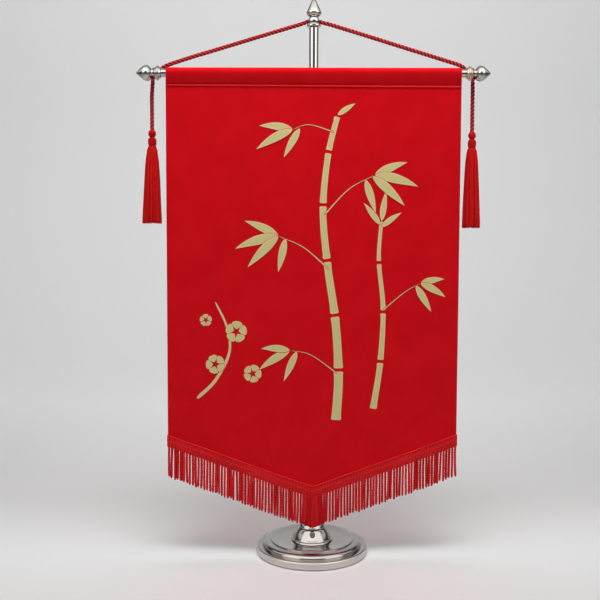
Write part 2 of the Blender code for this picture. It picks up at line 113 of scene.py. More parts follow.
class Board:  # the nodes of one material, world or geometry tree
    def __init__(self, tree):
        self.tree = tree

    def node(self, kind, settings=None, sockets=None, out=0):
        made = self.tree.nodes.new(kind)
        for name, value in (settings or {}).items():
            setattr(made, name, value)
        for key, value in (sockets or {}).items():
            for single in value if isinstance(value, list) else [value]:
                if isinstance(single, Wire):
                    self.tree.links.new(single.socket, made.inputs[key])
                else:
                    made.inputs[key].default_value = single
        return Wire(self, made.outputs[out]) if made.outputs else None

    def parts(self, vector):  # the three numbers of a vector
        return [self.node("ShaderNodeSeparateXYZ", {}, {0: vector}, axis) for axis in range(3)]

    def vector(self, x, y, z):
        return self.node("ShaderNodeCombineXYZ", {}, {0: x, 1: y, 2: z})

    def blend(self, share, first, second):  # between two colours
        return self.node("ShaderNodeMix", dict(data_type="RGBA"), {0: share, 6: first, 7: second}, 2)

    def place(self):  # object coordinates, which are the frame's own
        return self.node("ShaderNodeTexCoord", {}, {}, "Object")

    def speckle(self, place, scale, detail=2.0):
        sockets = {"Vector": place, "Scale": scale, "Detail": detail}
        return self.node("ShaderNodeTexNoise", {}, sockets, "Fac")

    def relief(self, height, depth, strength=1.0):
        sockets = {"Height": height, "Distance": depth, "Strength": strength}
        return self.node("ShaderNodeBump", {}, sockets)

    def attribute(self, name, out="Fac"):
        return self.node("ShaderNodeAttribute", dict(attribute_name=name), {}, out)


def finish(name, fixed, draw):  # fixed: constant shader sockets; draw gives the wired ones
    material = bpy.data.materials.new(name)
    material.use_nodes = True
    shader = material.node_tree.nodes["Principled BSDF"]
    for socket, value in fixed.items():
        shader.inputs[socket].default_value = value
    board = Board(material.node_tree)
    for socket, wire in draw(board).items():
        material.node_tree.links.new(wire.socket, shader.inputs[socket])
    return material


# Materials

standAxis = dict(along=2, centre=(0.0, 0.0, 0.0), brushed=0.0066)
rodAxis = dict(along=0, centre=(0.0, -0.0110, 0.4151), brushed=-1.0)


def polishedMetal(name, pale, deep, gloss, axis):  # turning lines round the axis, smudges, a brushed rim whose lowest edge holds a painted contact shadow
    lines = dict(across=2600.0, along=2100.0, depth=0.0000012, tone=0.25, rough=0.03)
    smudge = dict(scale=46.0, low=0.35, high=0.75, tone=0.6, rough=0.07)
    # painted shadow: the rim's lowest 0.7 mm takes the dark edge colour, a painted contact shadow where the
    # foot meets the floor
    rim = dict(tone=(210, 205, 201), edge=(70, 66, 63), contactShadowTop=0.0007, soft=0.0003, rough=0.3)

    def draw(board):
        place = board.place()
        spot = board.node("ShaderNodeVectorMath", dict(operation="SUBTRACT"), {0: place, 1: axis["centre"]})
        parts = board.parts(spot)
        reach = parts.pop(axis["along"])
        radius = (parts[0] * parts[0] + parts[1] * parts[1]).root()
        turned = board.speckle(board.vector(radius * lines["across"], reach * lines["along"], 0.0), 1.0)
        cloud = board.speckle(place, smudge["scale"], 4.0).step(smudge["low"], smudge["high"])
        height = board.parts(place)[2]
        brushed = 1 - height.past(axis["brushed"], rim["soft"])
        # painted contact shadow at the foot of the brushed rim
        aboveContactShadow = height.past(rim["contactShadowTop"], rim["soft"])
        rimToneAndShadow = board.blend(aboveContactShadow, paint(*rim["edge"]), paint(*rim["tone"]))
        plain = board.blend(cloud * smudge["tone"] + turned * lines["tone"], paint(*pale), paint(*deep))
        return {
            "Base Color": board.blend(brushed, plain, rimToneAndShadow),
            "Roughness": gloss + cloud * smudge["rough"] + turned * lines["rough"] + brushed * rim["rough"],
            "Normal": board.relief(turned, lines["depth"]),
        }

    return finish(name, {"Metallic": 1.0}, draw)


def blackenedSteel(name):
    colour = dict(light=(168, 166, 163), deep=(128, 126, 124))
    grainScale = 2400.0
    rough = dict(least=0.35, spread=0.2)

    def draw(board):
        grain = board.speckle(board.place(), grainScale, 3.0)
        return {
            "Base Color": board.blend(grain, paint(*colour["light"]), paint(*colour["deep"])),
            "Roughness": grain * rough["spread"] + rough["least"],
        }

    return finish(name, {"Metallic": 1.0}, draw)


def wovenRed(name):  # plain weave on the cloth's own measure, with slubs, a soft mottle and a painted highlight on the stitched ridge
    thread = 0.00056
    colour = dict(light=(234, 16, 29), deep=(216, 10, 22), paintedRidgeHighlight=(246, 44, 48))
    paintedRidgeHighlight = dict(foot=(0.40375, 0.40400), top=(0.40460, 0.40490))  # painted highlight: the stitched ridge under the sleeve gets a lighter band where it catches the light
    slub = dict(across=(90.0, 1500.0, 0.0), along=(1500.0, 70.0, 3.0), height=0.8)
    mottled = dict(scale=42.0, low=0.3, high=0.7)
    part = dict(crossing=0.24, slubAcross=0.2, slubAlong=0.22, mottle=0.34)
    rough = dict(least=0.66, tone=0.2, paintedRidgeHighlight=0.2)
    relief = dict(depth=0.00006, strength=0.7)

    def draw(board):
        across, along, none = board.parts(board.node("ShaderNodeUVMap", dict(uv_map="cut"), {}, "UV"))
        warp = (across * (fullTurn / thread)).sine()
        weft = (along * (fullTurn / thread)).sine()
        crossing = warp * weft * 0.5 + 0.5
        slubs = []
        for scaleAcross, scaleAlong, seed in (slub["across"], slub["along"]):
            slubs.append(board.speckle(board.vector(across * scaleAcross, along * scaleAlong, seed), 1.0))
        mottle = board.speckle(board.vector(across, along, 0.0), mottled["scale"], 5.0)
        mottle = mottle.step(mottled["low"], mottled["high"])
        tone = crossing * part["crossing"] + slubs[0] * part["slubAcross"] + slubs[1] * part["slubAlong"]
        tone = tone + mottle * part["mottle"]
        height = board.parts(board.place())[2]
        # painted highlight on the stitched ridge
        ridge = height.step(*paintedRidgeHighlight["foot"]) * (1 - height.step(*paintedRidgeHighlight["top"]))
        plain = board.blend(tone, paint(*colour["light"]), paint(*colour["deep"]))
        surface = crossing + slubs[0] * slub["height"] + slubs[1] * slub["height"]
        return {
            "Base Color": board.blend(ridge, plain, paint(*colour["paintedRidgeHighlight"])),
            "Roughness": rough["least"] + tone * rough["tone"] - ridge * rough["paintedRidgeHighlight"],
            "Normal": board.relief(surface, relief["depth"], relief["strength"]),
        }

    fixed = {"Sheen Weight": 0.04, "Sheen Roughness": 0.5, "Sheen Tint": paint(255, 60, 50),
             "Specular IOR Level": 0.12}
    return finish(name, fixed, draw)


def spunRed(name, light, deep, gloss, valley):  # fibres run slantwise round each ply, with painted shade darkening the valleys between plies
    fibre = dict(round=9.0, pitch=0.0035, fuzz=1500.0)
    part = dict(stripes=0.25, fuzz=0.3, shade=0.45, valley=0.95)
    rough = 0.25
    relief = dict(depth=0.00005, strength=0.6)

    def draw(board):
        turnX, turnY, none = board.parts(board.attribute("round", "Vector"))
        along = board.attribute("along")
        shade = board.attribute("shade")
        angle = turnY.angleTo(turnX)
        stripes = (angle * fibre["round"] + along * (fullTurn / fibre["pitch"])).sine() * 0.5 + 0.5
        fuzz = board.speckle(board.place(), fibre["fuzz"], 3.0)
        tone = stripes * part["stripes"] + fuzz * part["fuzz"] + shade * part["shade"]
        # painted shade: darker towards the valleys between plies
        tone = tone * (1 - part["valley"] * board.attribute("valley").step(0.0, valley))
        return {
            "Base Color": board.blend(tone, paint(*deep), paint(*light)),
            "Roughness": gloss + fuzz * rough,
            "Normal": board.relief(stripes + fuzz, relief["depth"], relief["strength"]),
        }

    fixed = {"Sheen Weight": 0.03, "Sheen Roughness": 0.4, "Sheen Tint": paint(255, 60, 50),
             "Specular IOR Level": 0.15, "Specular Tint": paint(255, 150, 140)}
    return finish(name, fixed, draw)


def printedGold(name):  # pale gold with a painted highlight in peach along each edge, inside a painted shadow as a thin dark contour
    colour = dict(light=(232, 220, 152), deep=(214, 204, 132), paintedEdgeHighlight=(255, 206, 158), paintedContourShadow=(128, 6, 8))
    edge = dict(paintedContourShadow=0.34, paintedEdgeHighlight=1.25, soft=0.16)
    grainScale = 900.0
    rough = dict(least=0.42, spread=0.2)
    relief = dict(depth=0.00004, strength=0.5)

    def draw(board):
        rim = board.attribute("rim")
        grain = board.speckle(board.place(), grainScale, 4.0)
        fill = board.blend(grain, paint(*colour["light"]), paint(*colour["deep"]))
        # painted highlight: a peach band along the inside of each edge
        inner = board.blend(rim.past(edge["paintedEdgeHighlight"], edge["soft"] * 2), paint(*colour["paintedEdgeHighlight"]), fill)
        # painted shadow: a thin dark contour at the very edge
        whole = board.blend(rim.past(edge["paintedContourShadow"], edge["soft"]), paint(*colour["paintedContourShadow"]), inner)
        return {
            "Base Color": whole,
            "Roughness": rough["least"] + grain * rough["spread"],
            "Normal": board.relief(grain, relief["depth"], relief["strength"]),
        }

    return finish(name, {"Specular IOR Level": 0.45}, draw)


nickel = dict(
    # painted shade: the foot's and hub's nickel is the pole's made darker, for the shaded underside of the
    # banner that its plate mirrors
    foot=polishedMetal("footNickelWithPaintedShade", (170, 165, 161), (156, 151, 147), 0.07, standAxis),
    pole=polishedMetal("poleNickel", (202, 200, 196), (186, 184, 180), 0.05, standAxis),
    rod=polishedMetal("rodNickel", (202, 200, 196), (186, 184, 180), 0.06, rodAxis),
    warm=polishedMetal("warmNickel", (226, 208, 178), (208, 188, 156), 0.2, rodAxis),
)
screwSteel = blackenedSteel("screwSteel")
bannerRed = wovenRed("bannerRed")
fringeRed = spunRed("fringeRed", (255, 52, 58), (184, 3, 10), 0.5, 0.5)
# the cord's pale pink is partly its own tone and partly a painted highlight on the crests; painted shade
# darkens the valleys
cordRed = spunRed("cordRed", (255, 92, 98), (104, 0, 6), 0.55, 0.21)
tasselRed = spunRed("tasselRed", (255, 40, 40), (150, 1, 5), 0.45, 0.5)
goldPrint = printedGold("goldPrint")
print("materials made")


# Shapes

def at(x, y, z):  # millimetres to a point in the frame
    return Vector((x * mm, y * mm, z * mm))


def keep(name, source, material, slot, nodes=()):  # a finished piece in the frame
    if isinstance(source, bmesh.types.BMesh):
        mesh = bpy.data.meshes.new(name)
        source.to_mesh(mesh)
        source.free()
        mesh.shade_smooth()
        piece = bpy.data.objects.new(name, mesh)
        bpy.context.scene.collection.objects.link(piece)
    else:
        piece = source
        piece.name = name
    piece.data.materials.clear()
    piece.data.materials.append(material)
    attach(piece, "root")
    if nodes:
        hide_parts(*nodes)
    return piece


def bow(centreR, centreZ, radiusR, radiusZ, start, end, steps):  # an elliptical arc, angles in degrees
    points = []
    for step in range(steps + 1):
        angle = math.radians(start + (end - start) * step / steps)
        points.append((centreR + radiusR * math.cos(angle), centreZ + radiusZ * math.sin(angle)))
    return points


def flow(points, step):  # evenly spaced points on a smooth curve through the given ones
    route = [Vector(point) for point in points]
    route = [2 * route[0] - route[1]] + route + [2 * route[-1] - route[-2]]
    fine = []
    for before, start, end, after in zip(route, route[1:], route[2:], route[3:]):
        parts = max(4, round((end - start).length / (step * 0.2)))
        for part in range(parts):
            t = part / parts
            curve = (2 * before - 5 * start + 4 * end - after) * t ** 2
            curve += (3 * start - before - 3 * end + after) * t ** 3
            fine.append(0.5 * (2 * start + (end - before) * t + curve))
    fine.append(route[-2])
    lengths = [0.0]
    for start, end in zip(fine, fine[1:]):
        lengths.append(lengths[-1] + (end - start).length)
    count = max(2, round(lengths[-1] / step))
    even = []
    spot = 0
    for index in range(count + 1):
        target = lengths[-1] * index / count
        while spot < len(fine) - 2 and lengths[spot + 1] < target:
            spot += 1
        share = (target - lengths[spot]) / (lengths[spot + 1] - lengths[spot])
        even.append(fine[spot].lerp(fine[spot + 1], min(1.0, share)))
    return even


def flatLine(points, step):  # the same through points that have two numbers
    return flow([(first, second, 0.0) for first, second in points], step)


def swell(points, step):  # a smooth stretch of a turned profile
    return [(point.x, point.y) for point in flatLine(points, step)]


def eased(profile, radius, blunt=20, turns=4):  # sharp corners are rounded and held by a point on each side
    points = [Vector((r, z, 0.0)) for r, z in profile]
    easedPoints = [points[0]]
    for before, corner, after in zip(points, points[1:], points[2:]):
        inward, outward = corner - before, after - corner
        if inward.length < 1e-6 or outward.length < 1e-6:
            continue
        if inward.angle(outward) < math.radians(blunt):
            easedPoints.append(corner)
            continue
        cut = min(radius, 0.35 * inward.length, 0.35 * outward.length)
        start, end = corner - inward.normalized() * cut, corner + outward.normalized() * cut
        easedPoints.append(corner - inward.normalized() * cut * 1.25)
        for step in range(turns + 1):
            t = step / turns
            easedPoints.append((1 - t) ** 2 * start + 2 * t * (1 - t) * corner + t ** 2 * end)
        easedPoints.append(corner + outward.normalized() * cut * 1.25)
    easedPoints.append(points[-1])
    return [(point.x, point.y) for point in easedPoints]


def turnProfile(profile, sides, ring=False):  # a (radius, height) profile spun about Z
    bm = bmesh.new()
    points = [bm.verts.new(at(radius, 0, height)) for radius, height in profile]
    pairs = list(zip(points, points[1:]))
    if ring:
        pairs.append((points[-1], points[0]))
    edges = [bm.edges.new(pair) for pair in pairs]
    bmesh.ops.spin(bm, geom=points + edges, cent=(0, 0, 0), axis=(0, 0, 1), angle=fullTurn,
                   steps=sides, use_merge=True)
    bmesh.ops.remove_doubles(bm, verts=bm.verts[:], dist=1e-7)
    bmesh.ops.recalc_face_normals(bm, faces=bm.faces[:])
    return bm


# Stand: turned foot, hub with its grub screw, pole and spear; outline points are (radius, height)

foot = dict(
    radius=48.6, underBevel=(1.4, 0.6), band=7.0, bandBevel=0.8,
    ridge=43.4, ridgeFoot=6.8, crest=36.9, ridgeTop=11.2,
    flank=[(0.0, 0.0), (0.1, 1.3), (0.6, 2.55), (1.5, 3.5), (2.9, 4.15)],  # inwards and up from the ridge
    plate=36.4, plateTop=12.2, plateSlope=[(28.0, 11.1), (19.5, 10.6), (17.0, 10.6)], seat=10.6,
    sides=160, corner=0.5,
)
hub = dict(
    seat=10.65, bore=4.3, boreFoot=1.6, top=34.0, mouth=6.2,
    flange=[(18.0, 10.65), (18.3, 10.9), (17.75, 12.05), (17.0, 12.2)],
    dome=[(16.6, 12.6), (16.0, 14.2), (15.2, 16.0), (14.25, 17.8), (13.25, 19.4), (12.2, 20.9)],
    shelf=[(11.3, 21.7), (10.4, 21.8)],
    neck=[(10.6, 21.9), (11.3, 22.1), (11.5, 22.7), (10.9, 24.4), (10.0, 26.2), (8.7, 27.9), (7.5, 29.3),
          (7.1, 30.4)],
    lip=[(7.15, 30.8), (7.45, 31.7), (7.2, 33.0), (6.4, 33.9)],
    sides=144, corner=0.35, sharp=40,
)
screw = dict(height=18.7, radius=2.2, point=4.3, face=13.6, socket=1.2, socketDepth=2.0, threads=10,
             threadDepth=0.22, clearance=0.25, sides=48, sharp=35)
pole = dict(radius=4.0, foot=12.8, top=455.7, sides=96, corner=0.4)
spear = dict(
    flange=[(5.4, 456.0), (5.9, 456.5), (5.9, 457.8), (5.4, 458.3)],
    ball=461.2, ballRadius=4.9, ballArc=(-36, 46),
    blade=[(3.6, 464.9), (5.2, 465.6), (6.1, 466.7), (6.35, 468.0), (6.0, 469.6), (4.8, 472.4), (3.4, 475.4),
           (2.1, 478.0), (0.9, 479.9)],
    point=[(0.4, 480.35), (0, 480.5)],
    sides=96, corner=0.3,
)


def footShape():
    outer, ridge, plate, top = foot["radius"], foot["ridge"], foot["plate"], foot["plateTop"]
    inset, rise = foot["underBevel"]
    band, bevel = foot["band"], foot["bandBevel"]
    profile = [(0, 0), (outer - inset, 0), (outer, rise), (outer, band - bevel), (outer - bevel, band),
               (ridge + bevel, band - 0.1)]
    flank = [(ridge - inward, foot["ridgeFoot"] + up) for inward, up in foot["flank"]]
    profile += swell(flank + [(foot["crest"], foot["ridgeTop"])], 0.4)
    profile += [(plate, foot["ridgeTop"] - 0.2), (plate, top - 0.3), (plate - 0.6, top)]
    profile += swell([(plate - 0.9, top)] + foot["plateSlope"], 1.2)
    profile += [(0, foot["seat"])]
    return turnProfile(eased(profile, foot["corner"]), foot["sides"])


def hubShape():
    inside = hub["seat"] + hub["boreFoot"]
    profile = [(0, hub["seat"])] + hub["flange"] + swell(hub["dome"], 0.5) + hub["shelf"]
    profile += swell(hub["neck"], 0.35) + swell(hub["lip"], 0.3)
    profile += [(hub["mouth"], hub["top"]), (hub["bore"], hub["top"]), (hub["bore"], inside), (0, inside)]
    return turnProfile(eased(profile, hub["corner"]), hub["sides"])


def cutScrewHole(piece):  # a drilled hole from the front of the dome to the bore
    reach = 20.0
    bpy.ops.mesh.primitive_cylinder_add(
        vertices=screw["sides"], radius=(screw["radius"] + screw["clearance"]) * mm, depth=reach * mm,
        location=at(0, -reach / 2, screw["height"]), rotation=(math.radians(90), 0, 0))
    drill = bpy.context.object
    cut = piece.modifiers.new("drilled", "BOOLEAN")
    cut.object = drill
    bpy.context.view_layer.update()
    drilled = bpy.data.meshes.new_from_object(piece.evaluated_get(bpy.context.evaluated_depsgraph_get()))
    piece.modifiers.clear()
    piece.data = drilled
    bpy.data.objects.remove(drill)
    piece.data.set_sharp_from_angle(angle=math.radians(hub["sharp"]))


def screwLevels():  # radius, depth and whether the ring is a hexagon, from the point to the socket's floor
    radius, point, face, socket = screw["radius"], screw["point"], screw["face"], screw["socket"]
    levels = [(0.6 * radius, point, False), (radius - 0.2, point + 0.9, False)]
    for turn in range(screw["threads"]):
        depth = point + 1.2 + (face - point - 2.0) * turn / screw["threads"]
        levels += [(radius, depth, False), (radius - screw["threadDepth"], depth + 0.4, False)]
    levels += [(radius, face - 0.6, False), (radius, face - 0.25, False), (radius - 0.25, face, False)]
    levels += [(socket + 0.12, face, True), (socket, face - 0.12, True)]
    return levels + [(socket, face - screw["socketDepth"], True)]


def screwShape():  # a grub screw: pointed end, thread turns, hexagon socket
    sides = screw["sides"]
    flat = fullTurn / 6
    bm = bmesh.new()
    rings = []
    for radius, depth, hexagon in screwLevels():
        ring = []
        for side in range(sides):
            angle = fullTurn * side / sides
            reach = radius * math.cos(flat / 2) / math.cos(angle % flat - flat / 2) if hexagon else radius
            x, z = reach * math.cos(angle), screw["height"] + reach * math.sin(angle)
            ring.append(bm.verts.new(at(x, -depth, z)))
        rings.append(ring)
    for lower, upper in zip(rings, rings[1:]):
        for side in range(sides):
            following = (side + 1) % sides
            bm.faces.new((lower[side], lower[following], upper[following], upper[side]))
    bm.faces.new(rings[0])
    bm.faces.new(rings[-1])
    bmesh.ops.recalc_face_normals(bm, faces=bm.faces[:])
    return bm


def poleShape():
    radius, low, high = pole["radius"], pole["foot"], pole["top"]
    profile = [(0, low), (radius, low), (radius, high), (0, high)]
    return turnProfile(eased(profile, pole["corner"]), pole["sides"])


def spearShape():
    low, high = spear["ballArc"]
    profile = [(0, spear["flange"][0][1])] + spear["flange"]
    profile += bow(0, spear["ball"], spear["ballRadius"], spear["ballRadius"], low, high, 22)
    profile += swell(spear["blade"], 0.45) + spear["point"]
    return turnProfile(eased(profile, spear["corner"]), spear["sides"])


keep("standFoot", footShape(), nickel["foot"], "foot_nickel", ["base_foot"])
standHub = keep("standHub", hubShape(), nickel["foot"], "foot_nickel", ["hub"])
cutScrewHole(standHub)
grubScrew = keep("grubScrew", screwShape(), screwSteel, "screw_steel", ["set_screw"])
grubScrew.data.set_sharp_from_angle(angle=math.radians(screw["sharp"]))
keep("standPole", poleShape(), nickel["pole"], "pole_nickel", ["pole"])
keep("poleSpear", spearShape(), nickel["pole"], "pole_nickel", ["pole_finial"])
print("stand made")


# Cross rod with its two collars and turned ends

rod = dict(y=-11.0, z=415.1, tilt=0.0055, radius=3.5, halfLength=134.6, sides=96, corner=0.3)
collar = dict(centre=131.6, halfWidth=2.75, radius=6.2, shoulder=4.6, bore=3.8, sides=96)
rodEnd = dict(  # (radius, distance along the rod)
    neck=[(3.2, 134.9), (3.2, 135.7)],
    bulb=[(3.3, 136.0), (3.55, 136.6), (4.5, 137.4), (5.8, 138.5), (6.6, 139.8), (6.75, 141.0), (6.5, 142.3),
          (5.9, 143.7), (4.5, 145.5), (2.5, 147.6), (0.9, 149.2)],
    tip=[(0.4, 149.7), (0, 149.9)],
    sides=96, corner=0.2,
)


def rodHeight(x):
    return rod["z"] + rod["tilt"] * x


def layOnRod(bm, side, x=0.0):  # a piece spun about Z now points outwards along the rod
    turn = Matrix.Rotation(math.radians(90) * side - math.atan(rod["tilt"]), 4, "Y")
    place = Matrix.Translation(at(x, rod["y"], rodHeight(x)))
    bmesh.ops.transform(bm, matrix=place @ turn, verts=bm.verts[:])
    return bm


def rodShape():
    half = rod["halfLength"]
    profile = [(0, -half), (rod["radius"], -half), (rod["radius"], half), (0, half)]
    return layOnRod(turnProfile(eased(profile, rod["corner"]), rod["sides"]), 1)


def collarShape(side):
    half, shoulder, crest = collar["halfWidth"], collar["shoulder"], collar["radius"]
    flank = [(shoulder - 0.25, -half + 0.05), (shoulder + 0.2, -half * 0.78), (crest - 0.85, -half * 0.42),
             (crest - 0.2, -half * 0.18), (crest, 0.0)]
    profile = [(collar["bore"], -half)]
    profile += swell(flank + [(radius, -along) for radius, along in reversed(flank[:-1])], 0.25)
    profile += [(collar["bore"], half)]
    return layOnRod(turnProfile(profile, collar["sides"], ring=True), 1, collar["centre"] * side)


def rodEndShape(side):
    profile = [(0, rodEnd["neck"][0][1])] + rodEnd["neck"] + swell(rodEnd["bulb"], 0.4) + rodEnd["tip"]
    return layOnRod(turnProfile(eased(profile, rodEnd["corner"]), rodEnd["sides"]), side)


keep("crossRod", rodShape(), nickel["rod"], "pole_nickel", ["cross_rod"])
for label, side, metal, slot in (("Left", -1, "rod", "pole_nickel"), ("Right", 1, "warm", "warm_bead")):
    keep("rodEnd" + label, rodEndShape(side), nickel["rod"], "pole_nickel", ["rod_finial_" + label.lower()])
    keep("rodCollar" + label, collarShape(side), nickel[metal], slot, ["rod_bead_" + label.lower()])
print("rod made")


# Cloth: one strip from its cut edge up the front, over the rod in a sleeve and down to the hem's end

cloth = dict(halfWidth=125.0, plane=-12.0, thick=0.7, seam=405.0, hemEnd=401.8, hemPlane=-10.0, sideTop=106.5,
             pointTop=61.1, edgeBelow=8.6, columns=140, rows=150, sleeve=4.65, sleeveNarrow=0.0013,
             ridgeBelow=2.4, backReach=1.1)
slack = dict(top=405.0, reach=260.0, waves=[(0.62, 118, 0.7), (0.26, 67, 2.2)])  # size, length, phase
ripple = dict(upright=0.07, across=31, level=0.05, along=143, fade=40)
pucker = dict(waves=[(0.10, 13.5, 0.4), (0.06, 7.9, 2.0)], belly=0.8, back=0.6)
ridgeRows = [  # height and how far forward: a crease, then the stitched ridge that catches the light
    (402.8, 0.0), (403.1, -0.1), (403.4, -0.05), (403.65, 0.4), (403.9, 0.85), (404.15, 1.0),
    (404.4, 0.92), (404.7, 0.6), (405.0, 0.25), (405.3, 0.0), (405.6, -0.1), (405.9, -0.05),
]
hemRows = [(405.6, 0.1), (405.0, 0.26), (404.4, 0.1), (403.6, 0.0), (402.7, 0.0), (cloth["hemEnd"], 0.0)]
sleeveFront = dict(rows=12, start=62, bulge=0.55, sag=4.1, narrow=0.45, forward=0.9)  # it hangs slack
heading = dict(halfWidth=125.6, depth=10.2, thick=1.25, gap=0.06, perStrand=8, rows=14, rib=0.12,
               ribWave=0.35, round=0.22, crown=0.78, edge=0.25, shade=1.2)


def headingTop(x):  # the V that falls from the sides to the point
    return cloth["pointTop"] + (cloth["sideTop"] - cloth["pointTop"]) * abs(x) / cloth["halfWidth"]


def clamp(share):
    return min(1.0, max(0.0, share))


def waveSum(waves, x):
    return sum(size * math.sin(fullTurn * x / length + phase) for size, length, phase in waves)


def slackWave(x, z):  # folds that grow downwards
    return clamp((slack["top"] - z) / slack["reach"]) * waveSum(slack["waves"], x)


def softRipple(x, z):  # small uneven ripples on top of the slack folds
    upright = ripple["upright"] * math.sin(fullTurn * x / ripple["across"] + 1.3 + z * 0.006)
    level = ripple["level"] * math.sin(fullTurn * z / ripple["along"] + x * 0.021)
    return (upright + level) * clamp((cloth["seam"] - z) / ripple["fade"])


def clothFront(x, z):
    return cloth["plane"] + slackWave(x, z) + softRipple(x, z)


def clothSection(x):  # (y, z, distance along the cloth) at x
    cut = headingTop(x) - cloth["edgeBelow"]
    lowSeam = cloth["seam"] - cloth["ridgeBelow"]
    puckered = waveSum(pucker["waves"], x)
    rodZ, sleeve = rodHeight(x), cloth["sleeve"]
    points = []
    for row in range(cloth["rows"] + 1):
        z = cut + (lowSeam - cut) * row / cloth["rows"]
        points.append((clothFront(x, z), z))
    for z, forward in ridgeRows:
        points.append((cloth["plane"] - forward + slackWave(x, z), z))
    for row in range(sleeveFront["rows"]):
        share = (row + 0.6) / sleeveFront["rows"]
        angle = math.radians(sleeveFront["start"] * (share - 1))
        reach = sleeve + sleeveFront["bulge"] * math.cos(math.radians(90 * share))
        z = rodZ + reach * math.sin(angle) - sleeveFront["sag"] * (1 - share) ** 1.6
        wide = sleeveFront["narrow"] + (1 - sleeveFront["narrow"]) * share ** 0.7
        y = rod["y"] - reach * math.cos(angle) * wide - sleeveFront["forward"] * (1 - share)
        points.append((y + puckered * (1 - share) * pucker["belly"], z))
    arcSteps = 26
    for step in range(arcSteps + 1):
        angle = math.radians(180 * step / arcSteps)
        points.append((rod["y"] - sleeve * math.cos(angle), rodZ + sleeve * math.sin(angle)))
    for row in range(1, sleeveFront["rows"]):
        share = row / sleeveFront["rows"]
        z = rodZ + (cloth["seam"] + 1.2 - rodZ) * share
        y = rod["y"] + sleeve - (sleeve - cloth["backReach"]) * share ** 1.5
        points.append((y - puckered * share * pucker["back"], z))
    for z, back in hemRows:
        points.append((cloth["hemPlane"] - back + slackWave(x, z), z))
    section = []
    along = 0.0
    for index, (y, z) in enumerate(points):
        if index:
            along += math.hypot(y - points[index - 1][0], z - points[index - 1][1])
        section.append((y, z, along))
    return section


def clothShape():
    bm = bmesh.new()
    measure = bm.loops.layers.uv.new("cut")
    columns = []
    for column in range(cloth["columns"] + 1):
        x = cloth["halfWidth"] * (2 * column / cloth["columns"] - 1)
        section = clothSection(x)
        seamAlong = section[cloth["rows"]][2]
        line = []
        for y, z, along in section:
            drawnIn = x * (1 + min(0.0, y - cloth["plane"]) * cloth["sleeveNarrow"])
            line.append((bm.verts.new(at(drawnIn, y, z)), (x * mm, (along - seamAlong) * mm)))
        columns.append(line)
    for left, right in zip(columns, columns[1:]):
        for row in range(len(left) - 1):
            corners = (left[row], right[row], right[row + 1], left[row + 1])
            face = bm.faces.new([vert for vert, uv in corners])
            for loop, (vert, uv) in zip(face.loops, corners):
                loop[measure].uv = uv
    return bm


def clothLength(x):
    return clothSection(x)[-1][2] * mm


bannerCloth = keep("bannerCloth", clothShape(), bannerRed, "banner_cloth", ["banner_cloth"])
wall = bannerCloth.modifiers.new("cloth", "SOLIDIFY")
wall.thickness = cloth["thick"] * mm
wall.offset = -1
wall.use_even_offset = False
print("cloth made")


# Yarn: Geometry Nodes twist plies along every spine and carry its measures on to the shader

